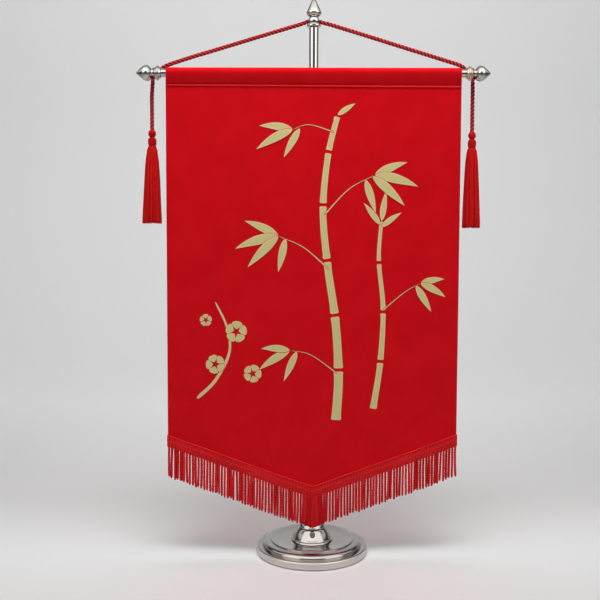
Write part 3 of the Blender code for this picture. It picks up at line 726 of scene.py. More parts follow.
def yarnTree(plies):
    tree = bpy.data.node_groups.new("twistedYarn%d" % plies, "GeometryNodeTree")
    board = Board(tree)
    tree.interface.new_socket("Spines", in_out="INPUT", socket_type="NodeSocketGeometry")
    for name in ("Step", "Ply radius", "Ply offset", "Pitch", "Stray"):
        tree.interface.new_socket(name, in_out="INPUT", socket_type="NodeSocketFloat")
    for name in ("Sides", "Seed"):
        tree.interface.new_socket(name, in_out="INPUT", socket_type="NodeSocketInt")
    tree.interface.new_socket("Finish", in_out="INPUT", socket_type="NodeSocketMaterial")
    tree.interface.new_socket("Yarn", in_out="OUTPUT", socket_type="NodeSocketGeometry")

    def given(name):
        return board.node("NodeGroupInput", {}, {}, name)

    def spineValue(name):
        return board.node("GeometryNodeInputNamedAttribute", dict(data_type="FLOAT"), {0: name})

    def vectorSum(operation, first, second):
        return board.node("ShaderNodeVectorMath", dict(operation=operation), {0: first, 1: second})

    def scaled(vector, share):
        return board.node("ShaderNodeVectorMath", dict(operation="SCALE"), {0: vector, "Scale": share})

    def store(geometry, kind, name, value):
        return board.node("GeometryNodeStoreNamedAttribute", dict(data_type=kind, domain="POINT"),
                          {0: geometry, 2: name, 3: value})

    line = board.node("GeometryNodeMeshToCurve", {}, {0: given("Spines")})
    evenly = {"Curve": line, "Length": given("Step")}
    line = board.node("GeometryNodeResampleCurve", dict(mode="LENGTH"), evenly)
    along = board.node("GeometryNodeSplineParameter", {}, {}, "Length")
    line = store(line, "FLOAT", "along", along)
    place = board.node("GeometryNodeInputPosition")
    ring = board.node("GeometryNodeCurvePrimitiveCircle", {}, {0: given("Sides"), "Radius": 1.0})
    ring = store(ring, "FLOAT_VECTOR", "round", place)
    thick = spineValue("thick")
    normal = board.node("GeometryNodeInputNormal")
    side = vectorSum("CROSS_PRODUCT", board.node("GeometryNodeInputTangent"), normal)
    line = store(line, "FLOAT_VECTOR", "core", place)
    strands = []
    for ply in range(plies):
        angle = along / given("Pitch") * fullTurn + spineValue("turn") + fullTurn * ply / plies
        reach = given("Ply offset") * thick
        outward = vectorSum("ADD", scaled(normal, angle.cosine() * reach), scaled(side, angle.sine() * reach))
        noise = {"Vector": place, "W": given("Seed") + 7.3 * ply, "Scale": 160.0, "Detail": 1.0}
        cloud = board.node("ShaderNodeTexNoise", dict(noise_dimensions="4D"), noise, "Color")
        stray = scaled(vectorSum("SUBTRACT", cloud, (0.5, 0.5, 0.5)), given("Stray"))
        offset = vectorSum("ADD", outward, stray)
        moved = board.node("GeometryNodeSetPosition", {}, {0: line, "Offset": offset})
        tube = {0: moved, 1: ring, "Scale": given("Ply radius") * thick, "Fill Caps": True}
        strands.append(board.node("GeometryNodeCurveToMesh", {}, tube))
    joined = board.node("GeometryNodeJoinGeometry", {}, {0: strands})
    # valley: how far a point lies in towards the yarn's core, which the shader turns into painted shade
    # between the plies
    core = board.node("GeometryNodeInputNamedAttribute", dict(data_type="FLOAT_VECTOR"), {0: "core"})
    away = board.node("ShaderNodeVectorMath", dict(operation="DISTANCE"), {0: place, 1: core}, "Value")
    valley = 1 - away / ((given("Ply offset") + given("Ply radius")) * thick)
    joined = store(joined, "FLOAT", "valley", valley)
    joined = board.node("GeometryNodeSetShadeSmooth", {}, {0: joined})
    joined = board.node("GeometryNodeRealizeInstances", {}, {0: joined})
    joined = board.node("GeometryNodeSetMaterial", {}, {0: joined, "Material": given("Finish")})
    board.node("NodeGroupOutput", {}, {0: joined})
    return tree


yarnTrees = {plies: yarnTree(plies) for plies in (1, 2, 3)}


def spine(points, thick=1.0, turn=0.0, shade=0.5, ends=1.0):  # ends: the last point's share of the thickness
    return dict(points=points, thick=thick, turn=turn, shade=shade, ends=ends)


def keepYarn(name, spines, plies, sizes, finish, nodes=()):  # spines become one plain mesh of yarn
    material, slot = finish
    verts, edges = [], []
    values = dict(thick=[], turn=[], shade=[])
    for single in spines:
        first = len(verts)
        last = len(single["points"]) - 1
        for index, point in enumerate(single["points"]):
            verts.append(Vector(point) * mm)
            values["thick"].append(single["thick"] * (single["ends"] if index == last else 1.0))
            values["turn"].append(single["turn"])
            values["shade"].append(single["shade"])
        edges += [(first + index, first + index + 1) for index in range(last)]
    mesh = bpy.data.meshes.new(name)
    mesh.from_pydata(verts, edges, [])
    for key, numbers in values.items():
        mesh.attributes.new(key, "FLOAT", "POINT").data.foreach_set("value", numbers)
    piece = bpy.data.objects.new(name, mesh)
    bpy.context.scene.collection.objects.link(piece)
    twist = piece.modifiers.new("yarn", "NODES")
    twist.node_group = yarnTrees[plies]
    sockets = {item.name: item.identifier for item in twist.node_group.interface.items_tree
               if item.in_out == "INPUT"}
    inputs = {"Step": sizes["step"] * mm, "Ply radius": sizes["ply"] * mm, "Ply offset": sizes["offset"] * mm,
              "Pitch": sizes["pitch"] * mm, "Stray": sizes["stray"] * mm, "Sides": sizes["sides"],
              "Seed": sizes["seed"], "Finish": material}
    for label, value in inputs.items():
        twist[sockets[label]] = value
    bpy.context.view_layer.update()
    ready = bpy.context.evaluated_depsgraph_get()
    yarn = bpy.data.meshes.new_from_object(piece.evaluated_get(ready), preserve_all_data_layers=True,
                                           depsgraph=ready)
    piece.modifiers.clear()
    piece.data = yarn
    return keep(name, piece, material, slot, nodes)


# Fringe: a ribbed heading with edge cords, and twisted strands that hang from it

strand = dict(count=99, pitch=2.53, length=26.2, spread=0.8, rooted=0.9, sway=0.28, belly=0.22, swing=0.45,
              tip=0.6)
drifting = dict(keep=0.6, most=0.75, share=0.5)  # neighbours lean together, so gaps open and close
slipped = dict(count=22, reach=122, back=0.9, length=(24.5, 26.0), lean=0.9)  # strands behind, here and there
apex = dict(half=5, reach=7.8, length=26.4, shorter=1.4, uneven=0.4, front=0.3, layer=0.8, fan=1.0)
strandSizes = dict(step=0.9, ply=0.90, offset=0.27, pitch=4.4, stray=0.12, sides=7, seed=3)
edgeSizes = dict(step=0.8, ply=0.30, offset=0.24, pitch=2.6, stray=0.0, sides=6, seed=5)
edgeLines = ((0.05, 0.02), (0.5, 0.12), (0.95, 0.02))  # share of the heading's depth, how far forward
fringeFinish = (fringeRed, "fringe_yarn")


def headingFront(x, z):
    return clothFront(x, z) - heading["gap"] - heading["thick"]


def headingShape():
    bm = bmesh.new()
    shade = bm.verts.layers.float.new("shade")
    count = strand["count"] * heading["perStrand"]
    backRows = (heading["rows"], 0)
    grid = []
    for column in range(count + 1):
        x = heading["halfWidth"] * (2 * column / count - 1)
        ribPhase = fullTurn * (x / strand["pitch"] + 0.5)
        line = []
        for index, row in enumerate(tuple(range(heading["rows"] + 1)) + backRows):
            share = row / heading["rows"]
            z = headingTop(x) - heading["depth"] * share
            y = clothFront(x, z) - heading["gap"]
            if index <= heading["rows"]:  # the ribbed front; the last two rows are the flat back
                rounded = math.sin(math.pi * share) ** heading["round"] if 0 < share < 1 else heading["edge"]
                ribs = math.cos(ribPhase) * (1 - heading["ribWave"] * math.cos(fullTurn * share * 2))
                y -= heading["thick"] * rounded * heading["crown"] + heading["rib"] * ribs
            line.append(bm.verts.new(at(x, y, z)))
        grid.append(line)
    around = len(grid[0])
    for left, right in zip(grid, grid[1:]):
        for row in range(around):
            following = (row + 1) % around
            bm.faces.new((left[row], left[following], right[following], right[row]))
    bm.faces.new(grid[0])
    bm.faces.new(grid[-1])
    for vert in bm.verts:
        vert[shade] = heading["shade"]
    bmesh.ops.recalc_face_normals(bm, faces=bm.faces[:])
    return bm


def headingLine(share, forward, inset=0.4):  # points along the V at a share of the heading's depth
    half = heading["halfWidth"] - inset
    stops = [2, 6] + [half * part for part in (0.25, 0.5, 0.75, 1.0)]
    points = []
    for x in [-stop for stop in reversed(stops)] + [0] + stops:
        z = headingTop(x) - heading["depth"] * share
        points.append((x, headingFront(x, z) - forward, z))
    return points


def strandSpine(x, draw, back=0.0, length=None, lean=0.0):
    z = headingTop(x) - heading["depth"] + strand["rooted"]
    y = headingFront(x, z) + heading["thick"] * 0.5 + back
    length = length or strand["length"] + draw.uniform(-strand["spread"], strand["spread"])
    length += strand["rooted"]
    sway = draw.uniform(-strand["sway"], strand["sway"]) + lean
    belly = draw.uniform(-strand["belly"], strand["belly"])
    swing = draw.uniform(-strand["swing"], strand["swing"])
    points = []
    for level in range(7):
        share = level / 6
        points.append((x + sway * share ** 1.6 + belly * math.sin(math.pi * share),
                       y + swing * share ** 1.4, z - length * share))
    thick, turn, shade = draw.uniform(0.9, 1.1), draw.uniform(0, fullTurn), draw.uniform(0.0, 1.0)
    return spine(flow(points, 1.5), thick, turn, shade, strand["tip"])


def fringeSpines():
    draw = random.Random(7)
    spines = []
    drift = 0.0
    for index in range(strand["count"]):
        x = (index - (strand["count"] - 1) / 2) * strand["pitch"]
        drift = drifting["keep"] * drift + draw.uniform(-drifting["most"], drifting["most"])
        spines.append(strandSpine(x, draw, lean=drift * drifting["share"]))
    for index in range(slipped["count"]):
        x = draw.uniform(-slipped["reach"], slipped["reach"])
        length = draw.uniform(*slipped["length"])
        lean = draw.uniform(-slipped["lean"], slipped["lean"])
        spines.append(strandSpine(x, draw, slipped["back"], length, lean))
    for index in range(2 * apex["half"] + 1):  # the fringe's two ends overlap at the point
        spot = (index - apex["half"]) / apex["half"]
        length = apex["length"] - apex["shorter"] * spot ** 2 + draw.uniform(-apex["uneven"], apex["uneven"])
        back = -apex["front"] - apex["layer"] * (index % 2)
        spines.append(strandSpine(spot * apex["reach"], draw, back, length, spot * apex["fan"]))
    return spines


keep("fringeHeading", headingShape(), *fringeFinish, ["fringe"])
headingCords = [spine(headingLine(share, forward), shade=heading["shade"]) for share, forward in edgeLines]
keepYarn("headingCords", headingCords, 2, edgeSizes, fringeFinish)
keepYarn("fringeStrands", fringeSpines(), 2, strandSizes, fringeFinish)
print("fringe made")


# Cords: the route's points are those of the solid cord

cord = dict(radius=1.6, routeStep=1.75, shade=0.9)
cordSizes = dict(step=0.6, ply=0.86, offset=1.0, pitch=9.6, stray=0.04, sides=10, seed=1)
cordFinish = (cordRed, "cord_yarn")
routeLeft = [
    (-135.2, -3.1, 414.9), (-133.6, -2.6, 416.4), (-131.4, -2.6, 418.3), (-128.5, -4.5, 420.0),
    (-125.2, -6.2, 421.4), (-121.0, -6.4, 423.0), (-104.0, -5.3, 428.9), (-76.0, -3.4, 437.9),
    (-44.0, -1.2, 448.3), (-16.0, 0.8, 457.3), (-8.2, 2.2, 460.1), (-5.5, 4.4, 461.8), (-3.0, 6.1, 462.8),
]
routeTop = [(0.0, 6.7, 463.2)]
routeRight = [
    (3.0, 6.1, 462.9), (5.5, 4.4, 462.0), (8.2, 2.2, 460.5), (16.0, 0.8, 458.1), (44.0, -1.2, 449.3),
    (76.0, -3.4, 439.1), (104.0, -5.3, 430.2), (121.0, -6.4, 424.8), (125.2, -6.2, 423.1),
    (128.5, -4.5, 421.6), (131.4, -2.6, 419.5), (133.4, -2.6, 417.6), (134.7, -3.1, 416.0),
]
tassels = [
    dict(side="Left", sign=-1, knot=(-136.9, -3.5, 412.6), hang=(-137.8, -3.7), foot=288.4, lean=-0.7,
         flare=1.80, seed=11),
    dict(side="Right", sign=1, knot=(136.3, -3.5, 413.8), hang=(136.3, -3.7), foot=285.6, lean=0.3,
         flare=1.66, seed=23),
]
knot = dict(radius=1.1, lobe=0.5, rise=1.75, halfHeight=2.8, neckX=135.75, neckLoop=4.6, loopStart=62,
            loopTurn=172)
knotSizes = dict(step=0.45, ply=0.56, offset=0.6, pitch=4.6, stray=0.0, sides=8, seed=4)
tassel = dict(knobTop=368.0, knobRadius=3.3, bandTop=361.6, bandBottom=353.9, bandRadius=3.7, root=349.2,
              rootRadius=4.5, cordEnd=347.5)
knob = dict(threads=46, climb=(78, -80), slant=0.35, inset=0.2)
band = dict(turns=8.5, inset=0.48, waist=0.22, top=0.65, bottom=0.55, shade=1.1)
skirt = dict(
    # dark: painted shade on the inner rings
    rings=[dict(threads=170, share=1.0, dark=0.0), dict(threads=110, share=0.9, dark=0.25),
           dict(threads=60, share=0.74, dark=0.4), dict(threads=40, share=0.5, dark=0.5)],
    locks=(11, 17, 26), ragged=2.2, lockRise=2.6, drift=0.05, wave=0.03, mouth=2.9, shoulder=3.75, inset=0.25,
    spreading=0.6, leanOver=65,
)
coreRows = [(0, -40), (4.4, -38), (3.4, -12), (3.0, 0)]  # (radius, height from the tassel's root)
knobSizes = dict(step=1.2, ply=0.25, offset=0.0, pitch=20.0, stray=0.0, sides=5, seed=2)
bandSizes = dict(step=0.5, ply=0.30, offset=0.22, pitch=1.9, stray=0.0, sides=6, seed=2)
skirtSizes = dict(step=3.4, ply=0.29, offset=0.0, pitch=20.0, stray=0.2, sides=5, seed=0)
tasselFinish = (tasselRed, "tassel_yarn")


def lengthOf(points):
    return sum((end - start).length for start, end in zip(points, points[1:]))


def circled(centre, radius, angle, z):  # a point at an angle round an upright line
    return (centre[0] + radius * math.cos(angle), centre[1] + radius * math.sin(angle), z)


def knotSpines(one):  # a small overhand knot, and the turn that holds it to the neck of the rod's end
    knotX, knotY, knotZ = one["knot"]
    points = []
    steps = 90
    for step in range(steps + 1):
        angle = fullTurn * step / steps
        reach = knot["radius"] + knot["lobe"] * math.cos(3 * angle)
        points.append(circled((knotX, knotY), reach, 2 * angle, knotZ + knot["rise"] * math.sin(3 * angle)))
    x = one["sign"] * knot["neckX"]
    loop = []
    for step in range(25):
        angle = math.radians(knot["loopStart"] - knot["loopTurn"] * step / 24)
        forward, up = knot["neckLoop"] * math.cos(angle), knot["neckLoop"] * math.sin(angle)
        loop.append((x, rod["y"] + forward, rodHeight(x) + up))
    return [spine(points, shade=cord["shade"]), spine(loop, shade=cord["shade"])]


def dropRoute(one):
    knotX, knotY, knotZ = one["knot"]
    hangX, hangY = one["hang"]
    top = knotZ - knot["halfHeight"] - 0.3
    route = [(knotX, knotY, top), ((knotX + hangX) / 2, (knotY + hangY) / 2, top - 6)]
    knobTop = tassel["knobTop"]
    route += [(hangX, hangY, z) for z in (top - 14, knobTop + 14, knobTop + 0.3, tassel["cordEnd"])]
    return flow(route, cord["routeStep"])


def knobMiddle():
    return (tassel["knobTop"] + tassel["bandTop"]) / 2, (tassel["knobTop"] - tassel["bandTop"]) / 2


def knobSpines(one, draw):  # threads drawn over a ball from the cord to the binding
    middle, half = knobMiddle()
    high, low = knob["climb"]
    spines = []
    for thread in range(knob["threads"]):
        start = fullTurn * thread / knob["threads"]
        points = []
        for step in range(13):
            climb = math.radians(high + (low - high) * step / 12)
            reach = (tassel["knobRadius"] - knob["inset"]) * math.cos(climb) ** 0.8
            turn = start + knob["slant"] * step / 12
            points.append(circled(one["hang"], reach, turn, middle + half * math.sin(climb)))
        spines.append(spine(points, draw.uniform(0.92, 1.08), 0.0, draw.uniform(0.2, 0.9)))
    return spines


def bandSpines(one):  # the binding's turns, each a yarn's thickness under the last
    top, bottom = tassel["bandTop"] - band["top"], tassel["bandBottom"] + band["bottom"]
    points = []
    steps = int(band["turns"] * 28)
    for step in range(steps + 1):
        share = step / steps
        angle = fullTurn * band["turns"] * share
        reach = (tassel["bandRadius"] - band["inset"]) * (1 - band["waist"] * abs(2 * share - 1) ** 3.5)
        points.append(circled(one["hang"], reach, angle, top + (bottom - top) * share))
    return [spine(points, shade=band["shade"])]


def skirtSpines(one, draw):  # threads in loose locks that swell over the shoulder and spread
    locks = [(draw.uniform(0, fullTurn), count) for count in skirt["locks"]]
    top, root = tassel["bandBottom"] + 0.3, tassel["root"]
    spines = []
    for ring in skirt["rings"]:
        for thread in range(ring["threads"]):
            start = fullTurn * (thread + draw.uniform(-0.3, 0.3)) / ring["threads"]
            lock = sum(math.sin(count * start + phase) for phase, count in locks) / len(locks)
            ragged = draw.uniform(0.0, 1.0) ** 2 * skirt["ragged"]
            end = one["foot"] + ragged + skirt["lockRise"] * max(0.0, -lock)
            drift = draw.uniform(-skirt["drift"], skirt["drift"])
            wave = draw.uniform(-skirt["wave"], skirt["wave"])
            points = [(skirt["mouth"] * ring["share"], top, start),
                      (skirt["shoulder"] * ring["share"], tassel["bandBottom"] - 1.0, start)]
            for level in range(9):
                share = level / 8
                spread = 1 + (one["flare"] - 1) * share ** skirt["spreading"]
                uneven = (0.02 + 0.05 * share) * lock + 0.01 * math.sin(5 * share + thread)
                reach = (tassel["rootRadius"] * spread - skirt["inset"]) * ring["share"] * (1 + uneven)
                turn = start + drift * share + wave * math.sin(4 * share + thread)
                points.append((reach, root + (end - root) * share, turn))
            placed = []
            for reach, z, turn in points:
                lean = one["lean"] * (top - z) / skirt["leanOver"]
                placed.append(circled((one["hang"][0] + lean, one["hang"][1]), reach, turn, z))
            # painted shade: inner rings are darker, and locks that lie further in are darker; the rest is
            # random tone
            shade = clamp(0.55 + 0.75 * lock + draw.uniform(-0.2, 0.2) - ring["dark"])
            spines.append(spine(flow(placed, 3.4), draw.uniform(0.9, 1.15), 0.0, shade, 0.8))
    return spines


def tasselCore(one):  # what the threads are bound over
    middle, half = knobMiddle()
    profile = [(radius, tassel["root"] + height) for radius, height in coreRows]
    profile += [(2.5, tassel["bandBottom"]), (2.8, tassel["bandBottom"] + 1), (2.8, tassel["bandTop"] - 1),
                (2.2, tassel["bandTop"])]
    profile += bow(0, middle, tassel["knobRadius"] - 0.35, half - 0.2, -50, 62, 10)
    profile += [(0, tassel["knobTop"] - 0.4)]
    bm = turnProfile(profile, 40)
    bmesh.ops.translate(bm, verts=bm.verts[:], vec=at(*one["hang"], 0))
    return bm


def hangCord(name, route, nodes, **facts):
    made = keepYarn(name, [spine(route, shade=cord["shade"])], 3, cordSizes, cordFinish, nodes)
    path = [point * mm for point in route]
    round(lengthOf(path), 4)


def makeTassel(one):
    side, low = one["side"], one["side"].lower()
    draw = random.Random(one["seed"])
    ownSkirt = dict(skirtSizes, seed=one["seed"])
    neckKnot = keepYarn("neckKnot" + side, knotSpines(one), 3, knotSizes, cordFinish, ["cord_knot_" + low])
    held = [keep("tasselCore" + side, tasselCore(one), *tasselFinish)]
    for piece, spines, plies, sizes, node in (
            ("tasselKnob", knobSpines(one, draw), 1, knobSizes, "tassel_knob_"),
            ("tasselBinding", bandSpines(one), 2, bandSizes, "tassel_band_"),
            ("tasselSkirt", skirtSpines(one, draw), 1, ownSkirt, "tassel_")):
        held.append(keepYarn(piece + side, spines, plies, sizes, tasselFinish, [node + low]))
    hangCord("tasselCord" + side, dropRoute(one), ["tassel_cord_" + low], far_end="fitting", lay="hanging",
             with_pieces=held)
    return neckKnot


neckKnots = [makeTassel(one) for one in tassels]
suspensionRoute = flow(routeLeft + routeTop + routeRight, cord["routeStep"])
hangCord("suspensionCord", suspensionRoute, ["suspension_cord"], far_end="object", lay="taut",
         with_pieces=neckKnots)
print("cords and tassels made")


# Stitches: short single threads that dip into the cloth at both ends

stitch = dict(long=2.5, gap=0.5, rise=0.16, dip=0.22, sunk=0.05, front=402.4, back=403.2, clothReach=123.5,
              headingReach=124)
threadSizes = dict(step=0.3, ply=0.17, offset=0.0, pitch=9.0, stray=0.0, sides=5, seed=6)


def stitchSpines(surface, low, high):  # surface(x) gives a point, and which way is out along Y
    spines = []
    x = low
    while x + stitch["long"] < high:
        points = []
        for level in range(6):
            share = level / 5
            spot, out = surface(x + stitch["long"] * share)
            lift = stitch["rise"] * math.sin(math.pi * share) ** 0.5 if 0 < share < 1 else -stitch["dip"]
            points.append(Vector(spot) + Vector((0, out * lift, 0)))
        spines.append(spine(points))
        x += stitch["long"] + stitch["gap"]
    return spines


def seamFront(x):
    z = stitch["front"]
    return (x, cloth["plane"] + slackWave(x, z) + stitch["sunk"], z), -1


def seamBack(x):
    z = stitch["back"]
    return (x, cloth["hemPlane"] + slackWave(x, z) - stitch["sunk"], z), 1


def headingSeam(share):
    def spot(x):
        z = headingTop(x) - heading["depth"] * share
        return (x, headingFront(x, z) + heading["thick"] * 0.2, z), -1
    return spot


def stitchRows(name, surfaces, reach):
    spines = [single for surface in surfaces for single in stitchSpines(surface, -reach, reach)]
    keepYarn(name, spines, 1, threadSizes, fringeFinish)


stitchRows("seamStitches", (seamFront, seamBack), stitch["clothReach"])
stitchRows("headingStitches", (headingSeam(0.24), headingSeam(0.78)), stitch["headingReach"])
print("stitches made")


# Print: a generic bamboo spray with plum blossoms in pale gold, each stroke a thin film on the cloth

film = dict(lift=0.09, layer=0.03, thick=0.05, across=8, least=0.02)
stems = [  # points (x, z) from the foot up, joints as shares of the length, half width at foot and tip
    dict(points=[(20, 118), (22, 158), (19, 206), (12, 254), (8, 300), (12, 346), (20, 380)],
         joints=[0.0, 0.17, 0.35, 0.53, 0.71, 0.88, 1.0], foot=4.3, tip=2.6),
    dict(points=[(52, 128), (58, 170), (60, 216), (56, 258), (58, 292)],
         joints=[0.0, 0.26, 0.52, 0.78, 1.0], foot=3.1, tip=1.8),
]
twigs = [  # thin branches that carry the leaves
    dict(points=[(13, 250), (-8, 268), (-30, 278)], half=0.9),
    dict(points=[(9, 296), (30, 318), (52, 330)], half=0.9),
    dict(points=[(59, 214), (78, 230), (92, 238)], half=0.8),
    dict(points=[(21, 160), (-2, 176), (-20, 180)], half=0.8),
    dict(points=[(17, 366), (-4, 372), (-18, 368)], half=0.8),
]
leaves = [  # root (x, z), heading in degrees (0 right, 90 up), length, half width
    (-30, 278, 150, 34, 3.9), (-30, 278, 188, 38, 4.4), (-30, 278, 222, 36, 4.2), (-24, 276, 258, 30, 3.6),
    (52, 330, 28, 32, 3.8), (52, 330, -6, 38, 4.4), (50, 329, -38, 36, 4.2), (44, 326, -72, 30, 3.6),
    (92, 238, 18, 22, 3.2), (92, 238, -22, 24, 3.4), (88, 236, -58, 26, 3.4),
    (-20, 180, 168, 26, 3.4), (-20, 180, 206, 30, 3.8), (-14, 179, 246, 28, 3.4),
    (-18, 368, 166, 30, 3.6), (-18, 368, 202, 34, 4.0), (-12, 369, 240, 28, 3.4),
    (58, 291, 82, 27, 3.0), (57, 288, 126, 25, 2.9), (58, 286, 40, 23, 2.8), (20, 380, 38, 20, 2.6),
]
blossoms = [  # x, z, radius, turn in degrees
    (-66, 196, 9.5, 12), (-84, 168, 8.5, 40), (-52, 160, 8.0, 68), (-92, 206, 5.5, 20),
]
bough = dict(points=[(-100, 138), (-84, 154), (-72, 178), (-74, 200), (-84, 222)], half=1.9)


def stroke(bm, rim, line, halfWidth, layer):  # halfWidth gives half the stroke's width at a share of its line
    around = film["across"]
    last = len(line) - 1
    lengths = [0.0]
    for start, end in zip(line, line[1:]):
        lengths.append(lengths[-1] + (end - start).length)
    rows = []
    for index, spot in enumerate(line):
        half = halfWidth(index / last) + film["least"]
        ahead = line[min(index + 1, last)] - line[max(index - 1, 0)]
        across = Vector((-ahead.y, ahead.x, 0.0)).normalized()
        fromEnd = min(lengths[index], lengths[-1] - lengths[index])
        row = []
        for step in range(around + 1):
            share = 2 * step / around - 1
            share = math.copysign(abs(share) ** 0.8, share)
            place = spot + across * (half * share)
            y = clothFront(place.x, place.y) - film["lift"] - film["layer"] * layer
            vert = bm.verts.new(at(place.x, y, place.y))
            vert[rim] = min(half * (1 - abs(share)), fromEnd)
            row.append(vert)
        rows.append(row)
    for lower, upper in zip(rows, rows[1:]):
        for step in range(around):
            bm.faces.new((lower[step], lower[step + 1], upper[step + 1], upper[step]))


def stemStrokes(bm, rim, stem):  # a row of joints, each a little wider at its ends
    line = flatLine(stem["points"], 0.5)
    last = len(line) - 1
    for low, high in zip(stem["joints"], stem["joints"][1:]):
        def halfWidth(share):
            half = stem["foot"] + (stem["tip"] - stem["foot"]) * (low + (high - low) * share)
            ends = abs(2 * share - 1)
            return half * (1 + 0.22 * ends ** 8) * (1 - ends ** 40) ** 0.5
        stroke(bm, rim, line[round(last * low) + 2:round(last * high) - 1], halfWidth, 0)


def twigStroke(bm, rim, twig, layer):
    def halfWidth(share):
        return twig["half"] * (1 - 0.45 * share) * (1 - abs(2 * share - 1) ** 24) ** 0.5
    stroke(bm, rim, flatLine(twig["points"], 0.6), halfWidth, layer)


def leafStroke(bm, rim, leaf, layer):
    x, z, direction, length, half = leaf
    angle = math.radians(direction)
    droop = -0.16 * length * math.cos(angle) ** 2
    points = []
    for share, bent in ((0.0, 0.0), (0.35, 0.1), (0.7, 0.45), (1.0, 1.0)):
        reach = share * length
        points.append((x + reach * math.cos(angle), z + reach * math.sin(angle) + droop * bent))

    def halfWidth(share):
        return half * math.sin(math.pi * share ** 0.72) ** 0.85 if 0 < share < 1 else 0.0
    stroke(bm, rim, flatLine(points, 0.55), halfWidth, layer)


def blossomStrokes(bm, rim, blossom, layer):
    x, z, radius, turn = blossom

    def halfWidth(share):
        return 0.5 * radius * math.sin(math.pi * share ** 1.5) ** 0.6
    for petal in range(5):
        angle = math.radians(turn + 72 * petal)
        points = [(x + reach * radius * math.cos(angle), z + reach * radius * math.sin(angle))
                  for reach in (0.2, 0.6, 1.0)]
        stroke(bm, rim, flatLine(points, 0.3), halfWidth, layer)


def printShape():
    bm = bmesh.new()
    rim = bm.verts.layers.float.new("rim")
    for stem in stems:
        stemStrokes(bm, rim, stem)
    for twig in twigs:
        twigStroke(bm, rim, twig, 1)
    twigStroke(bm, rim, bough, 0)
    for index, leaf in enumerate(leaves):
        leafStroke(bm, rim, leaf, 2 + index % 4)
    for blossom in blossoms:
        blossomStrokes(bm, rim, blossom, 2)
    return bm


clothPrint = keep("clothPrint", printShape(), goldPrint, "banner_cloth")
filmWall = clothPrint.modifiers.new("film", "SOLIDIFY")
filmWall.thickness = film["thick"] * mm
filmWall.offset = -1
print("print made")

flatWidth = 2 * cloth["halfWidth"] * mm
sideLength, middleLength = clothLength(cloth["halfWidth"]), clothLength(0.0)
round(flatWidth * (sideLength + middleLength) / 2, 5)


# Stage, light and camera

stage = dict(floorFront=-3.2, mirrorFront=-0.9, sweepStart=1.3, wall=2.1, mirrorTop=1.0, height=3.2, half=3.6)
lights = [
    dict(name="key", place=(0, -0.33, 0.98), target=(0, 0.02, 0.42), size=(0.7, 0.3), spread=70, power=0.86),
    dict(name="front", place=(0, -1.2, 0.85), target=(0, 0, 0.55), size=(1.6, 0.5), spread=60, power=0.38),
    dict(name="top", place=(0, -0.1, 1.7), target=(0, 0, 0), size=(2.4, 1.4), spread=180, power=21.5),
    dict(name="wallWash", place=(0, 0.4, 2.3), target=(0, 2.1, 1.0), size=(4.2, 0.6), spread=110, power=19.5),
]
mirrored = [  # panels that only the metal sees: turn from the front in radians, sine of the climb
    dict(turn=(-0.50, 0.50), climb=(0.34, 0.91), soft=(0.10, 0.10), level=2.1, pair=False),
    dict(turn=(0.50, 1.26), climb=(0.03, 0.91), soft=(0.10, 0.10), level=1.9, pair=True),
    dict(turn=(1.30, 1.92), climb=(0.25, 0.91), soft=(0.14, 0.10), level=0.85, pair=True),
    dict(turn=(2.45, 4.0), climb=(0.25, 0.91), soft=(0.16, 0.10), level=0.6, pair=True),
    dict(turn=(-4.0, 4.0), climb=(0.91, 2.0), soft=(0.06, 0.10), level=0.35, pair=False),
    dict(turn=(-4.0, 4.0), climb=(-2.0, 2.0), soft=(0.06, 0.06), level=0.08, pair=False),
]


def paperShape(outline):  # (y, z) points drawn out sideways
    bm = bmesh.new()
    sides = [[bm.verts.new((x, y, z)) for y, z in outline] for x in (-stage["half"], stage["half"])]
    for left, right, leftUp, rightUp in zip(sides[0], sides[1], sides[0][1:], sides[1][1:]):
        bm.faces.new((left, right, rightUp, leftUp))
    return bm


def backdropLine():
    radius = stage["wall"] - stage["sweepStart"]
    outline = [(stage["mirrorFront"], 0.0), (stage["sweepStart"], 0.0)]
    for step in range(1, 25):
        angle = math.radians(90 * step / 24)
        outline.append((stage["sweepStart"] + radius * math.sin(angle), radius * (1 - math.cos(angle))))
    return outline + [(stage["wall"], stage["mirrorTop"])]


def placePaper(name, outline, mirroredToo):
    mesh = bpy.data.meshes.new(name)
    shape = paperShape(outline)
    shape.to_mesh(mesh)
    shape.free()
    mesh.shade_smooth()
    mesh.materials.append(stagePaper)
    paper = bpy.data.objects.new(name, mesh)
    bpy.context.scene.collection.objects.link(paper)
    paper.visible_glossy = mirroredToo


def palePaper(name):  # painted shade: a little greyer from just behind the foot to the sweep
    colour = dict(light=(240, 240, 240), deep=(216, 216, 216))
    greyer = dict(start=(-0.04, 0.2), end=(0.1, 0.46), depthShare=0.6)
    mottled = dict(scale=3.0, share=0.1)

    def draw(board):
        place = board.place()
        none, y, z = board.parts(place)
        # painted shade: greyer band on the paper behind the foot
        paintedShade = y.step(*greyer["start"]) * (1 - (y * greyer["depthShare"] + z).step(*greyer["end"]))
        cloud = board.speckle(place, mottled["scale"]) * mottled["share"]
        return {"Base Color": board.blend(paintedShade + cloud, paint(*colour["light"]), paint(*colour["deep"]))}

    return finish(name, {"Roughness": 0.9, "Specular IOR Level": 0.1}, draw)


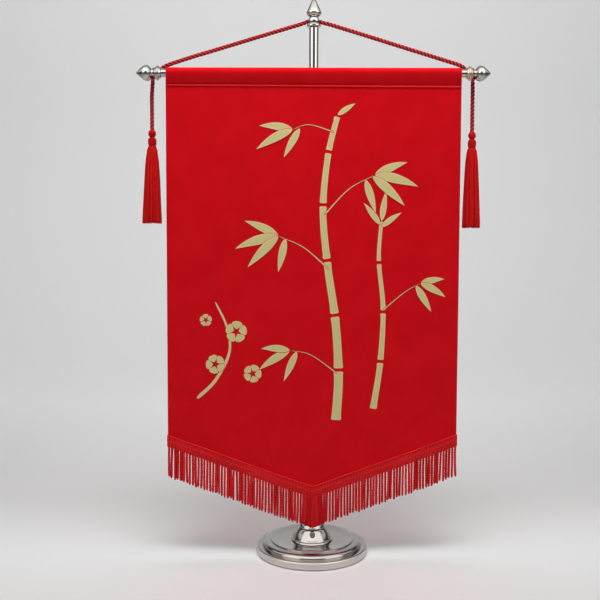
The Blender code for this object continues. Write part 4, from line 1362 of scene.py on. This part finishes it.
def placeLight(one):
    lamp = bpy.data.lights.new(one["name"], "AREA")
    lamp.shape = "RECTANGLE"
    lamp.size, lamp.size_y = one["size"]
    lamp.energy = one["power"]
    lamp.spread = math.radians(one["spread"])
    carrier = bpy.data.objects.new(one["name"], lamp)
    bpy.context.scene.collection.objects.link(carrier)
    carrier.location = one["place"]
    aim = Vector(one["target"]) - Vector(one["place"])
    carrier.rotation_mode = "QUATERNION"
    carrier.rotation_quaternion = aim.to_track_quat("-Z", "Y")
    carrier.visible_camera = False
    carrier.visible_glossy = False


def placeCamera():
    view = dict(lens=49.64, sensor=36.0, place=(-0.0262, -0.7194, 0.2667), pan=1.199, tilt=-3.502, roll=0.178)
    data = bpy.data.cameras.new("camera")
    data.lens, data.sensor_width = view["lens"], view["sensor"]
    data.clip_start, data.clip_end = 0.01, 30.0
    carrier = bpy.data.objects.new("camera", data)
    bpy.context.scene.collection.objects.link(carrier)
    pan, tilt = math.radians(view["pan"]), math.radians(view["tilt"])
    ahead = Vector((math.sin(pan) * math.cos(tilt), math.cos(pan) * math.cos(tilt), math.sin(tilt)))
    turn = ahead.to_track_quat("-Z", "Y").to_matrix().to_4x4()
    roll = Matrix.Rotation(math.radians(view["roll"]), 4, "Z")
    carrier.matrix_world = Matrix.Translation(view["place"]) @ turn @ roll
    bpy.context.scene.camera = carrier


def mirroredLevel(turn, climb):  # the panels' brightness towards one direction, dark between them
    total = 0.0
    for panel in mirrored:
        low, high = panel["turn"]
        softTurn, softClimb = panel["soft"]
        for start, end in [(low, high), (-high, -low)] if panel["pair"] else [(low, high)]:
            shape = turn.between(start, end, softTurn) * climb.between(*panel["climb"], softClimb)
            total = shape * panel["level"] + total
    return total


def paintWorld():  # pale for the camera, soft fill for the cloth, panels for the metal
    seen = dict(camera=0.66, fill=0.02)
    world = bpy.data.worlds.new("studio")
    world.use_nodes = True
    bpy.context.scene.world = world
    board = Board(world.node_tree)
    x, y, z = board.parts(board.node("ShaderNodeTexCoord", {}, {}, "Generated"))
    isCamera = board.node("ShaderNodeLightPath", {}, {}, "Is Camera Ray")
    isGlossy = board.node("ShaderNodeLightPath", {}, {}, "Is Glossy Ray")
    level = isCamera * seen["camera"] + isGlossy * mirroredLevel(x.angleTo(y * -1.0), z)
    level = level + (1 - isCamera - isGlossy) * seen["fill"]
    background = world.node_tree.nodes["Background"]
    world.node_tree.links.new(level.socket, background.inputs["Strength"])
    background.inputs["Color"].default_value = (1.0, 1.0, 1.0, 1.0)


stagePaper = palePaper("palePaper")
placePaper("backdrop", backdropLine(), True)
placePaper("frontFloor", [(stage["floorFront"], 0.0), (stage["mirrorFront"], 0.0)], False)
placePaper("upperWall", [(stage["wall"], stage["mirrorTop"]), (stage["wall"], stage["height"])], False)
for one in lights:
    placeLight(one)
placeCamera()
paintWorld()
bpy.context.scene.view_settings.view_transform = "Standard"
print("stage made")
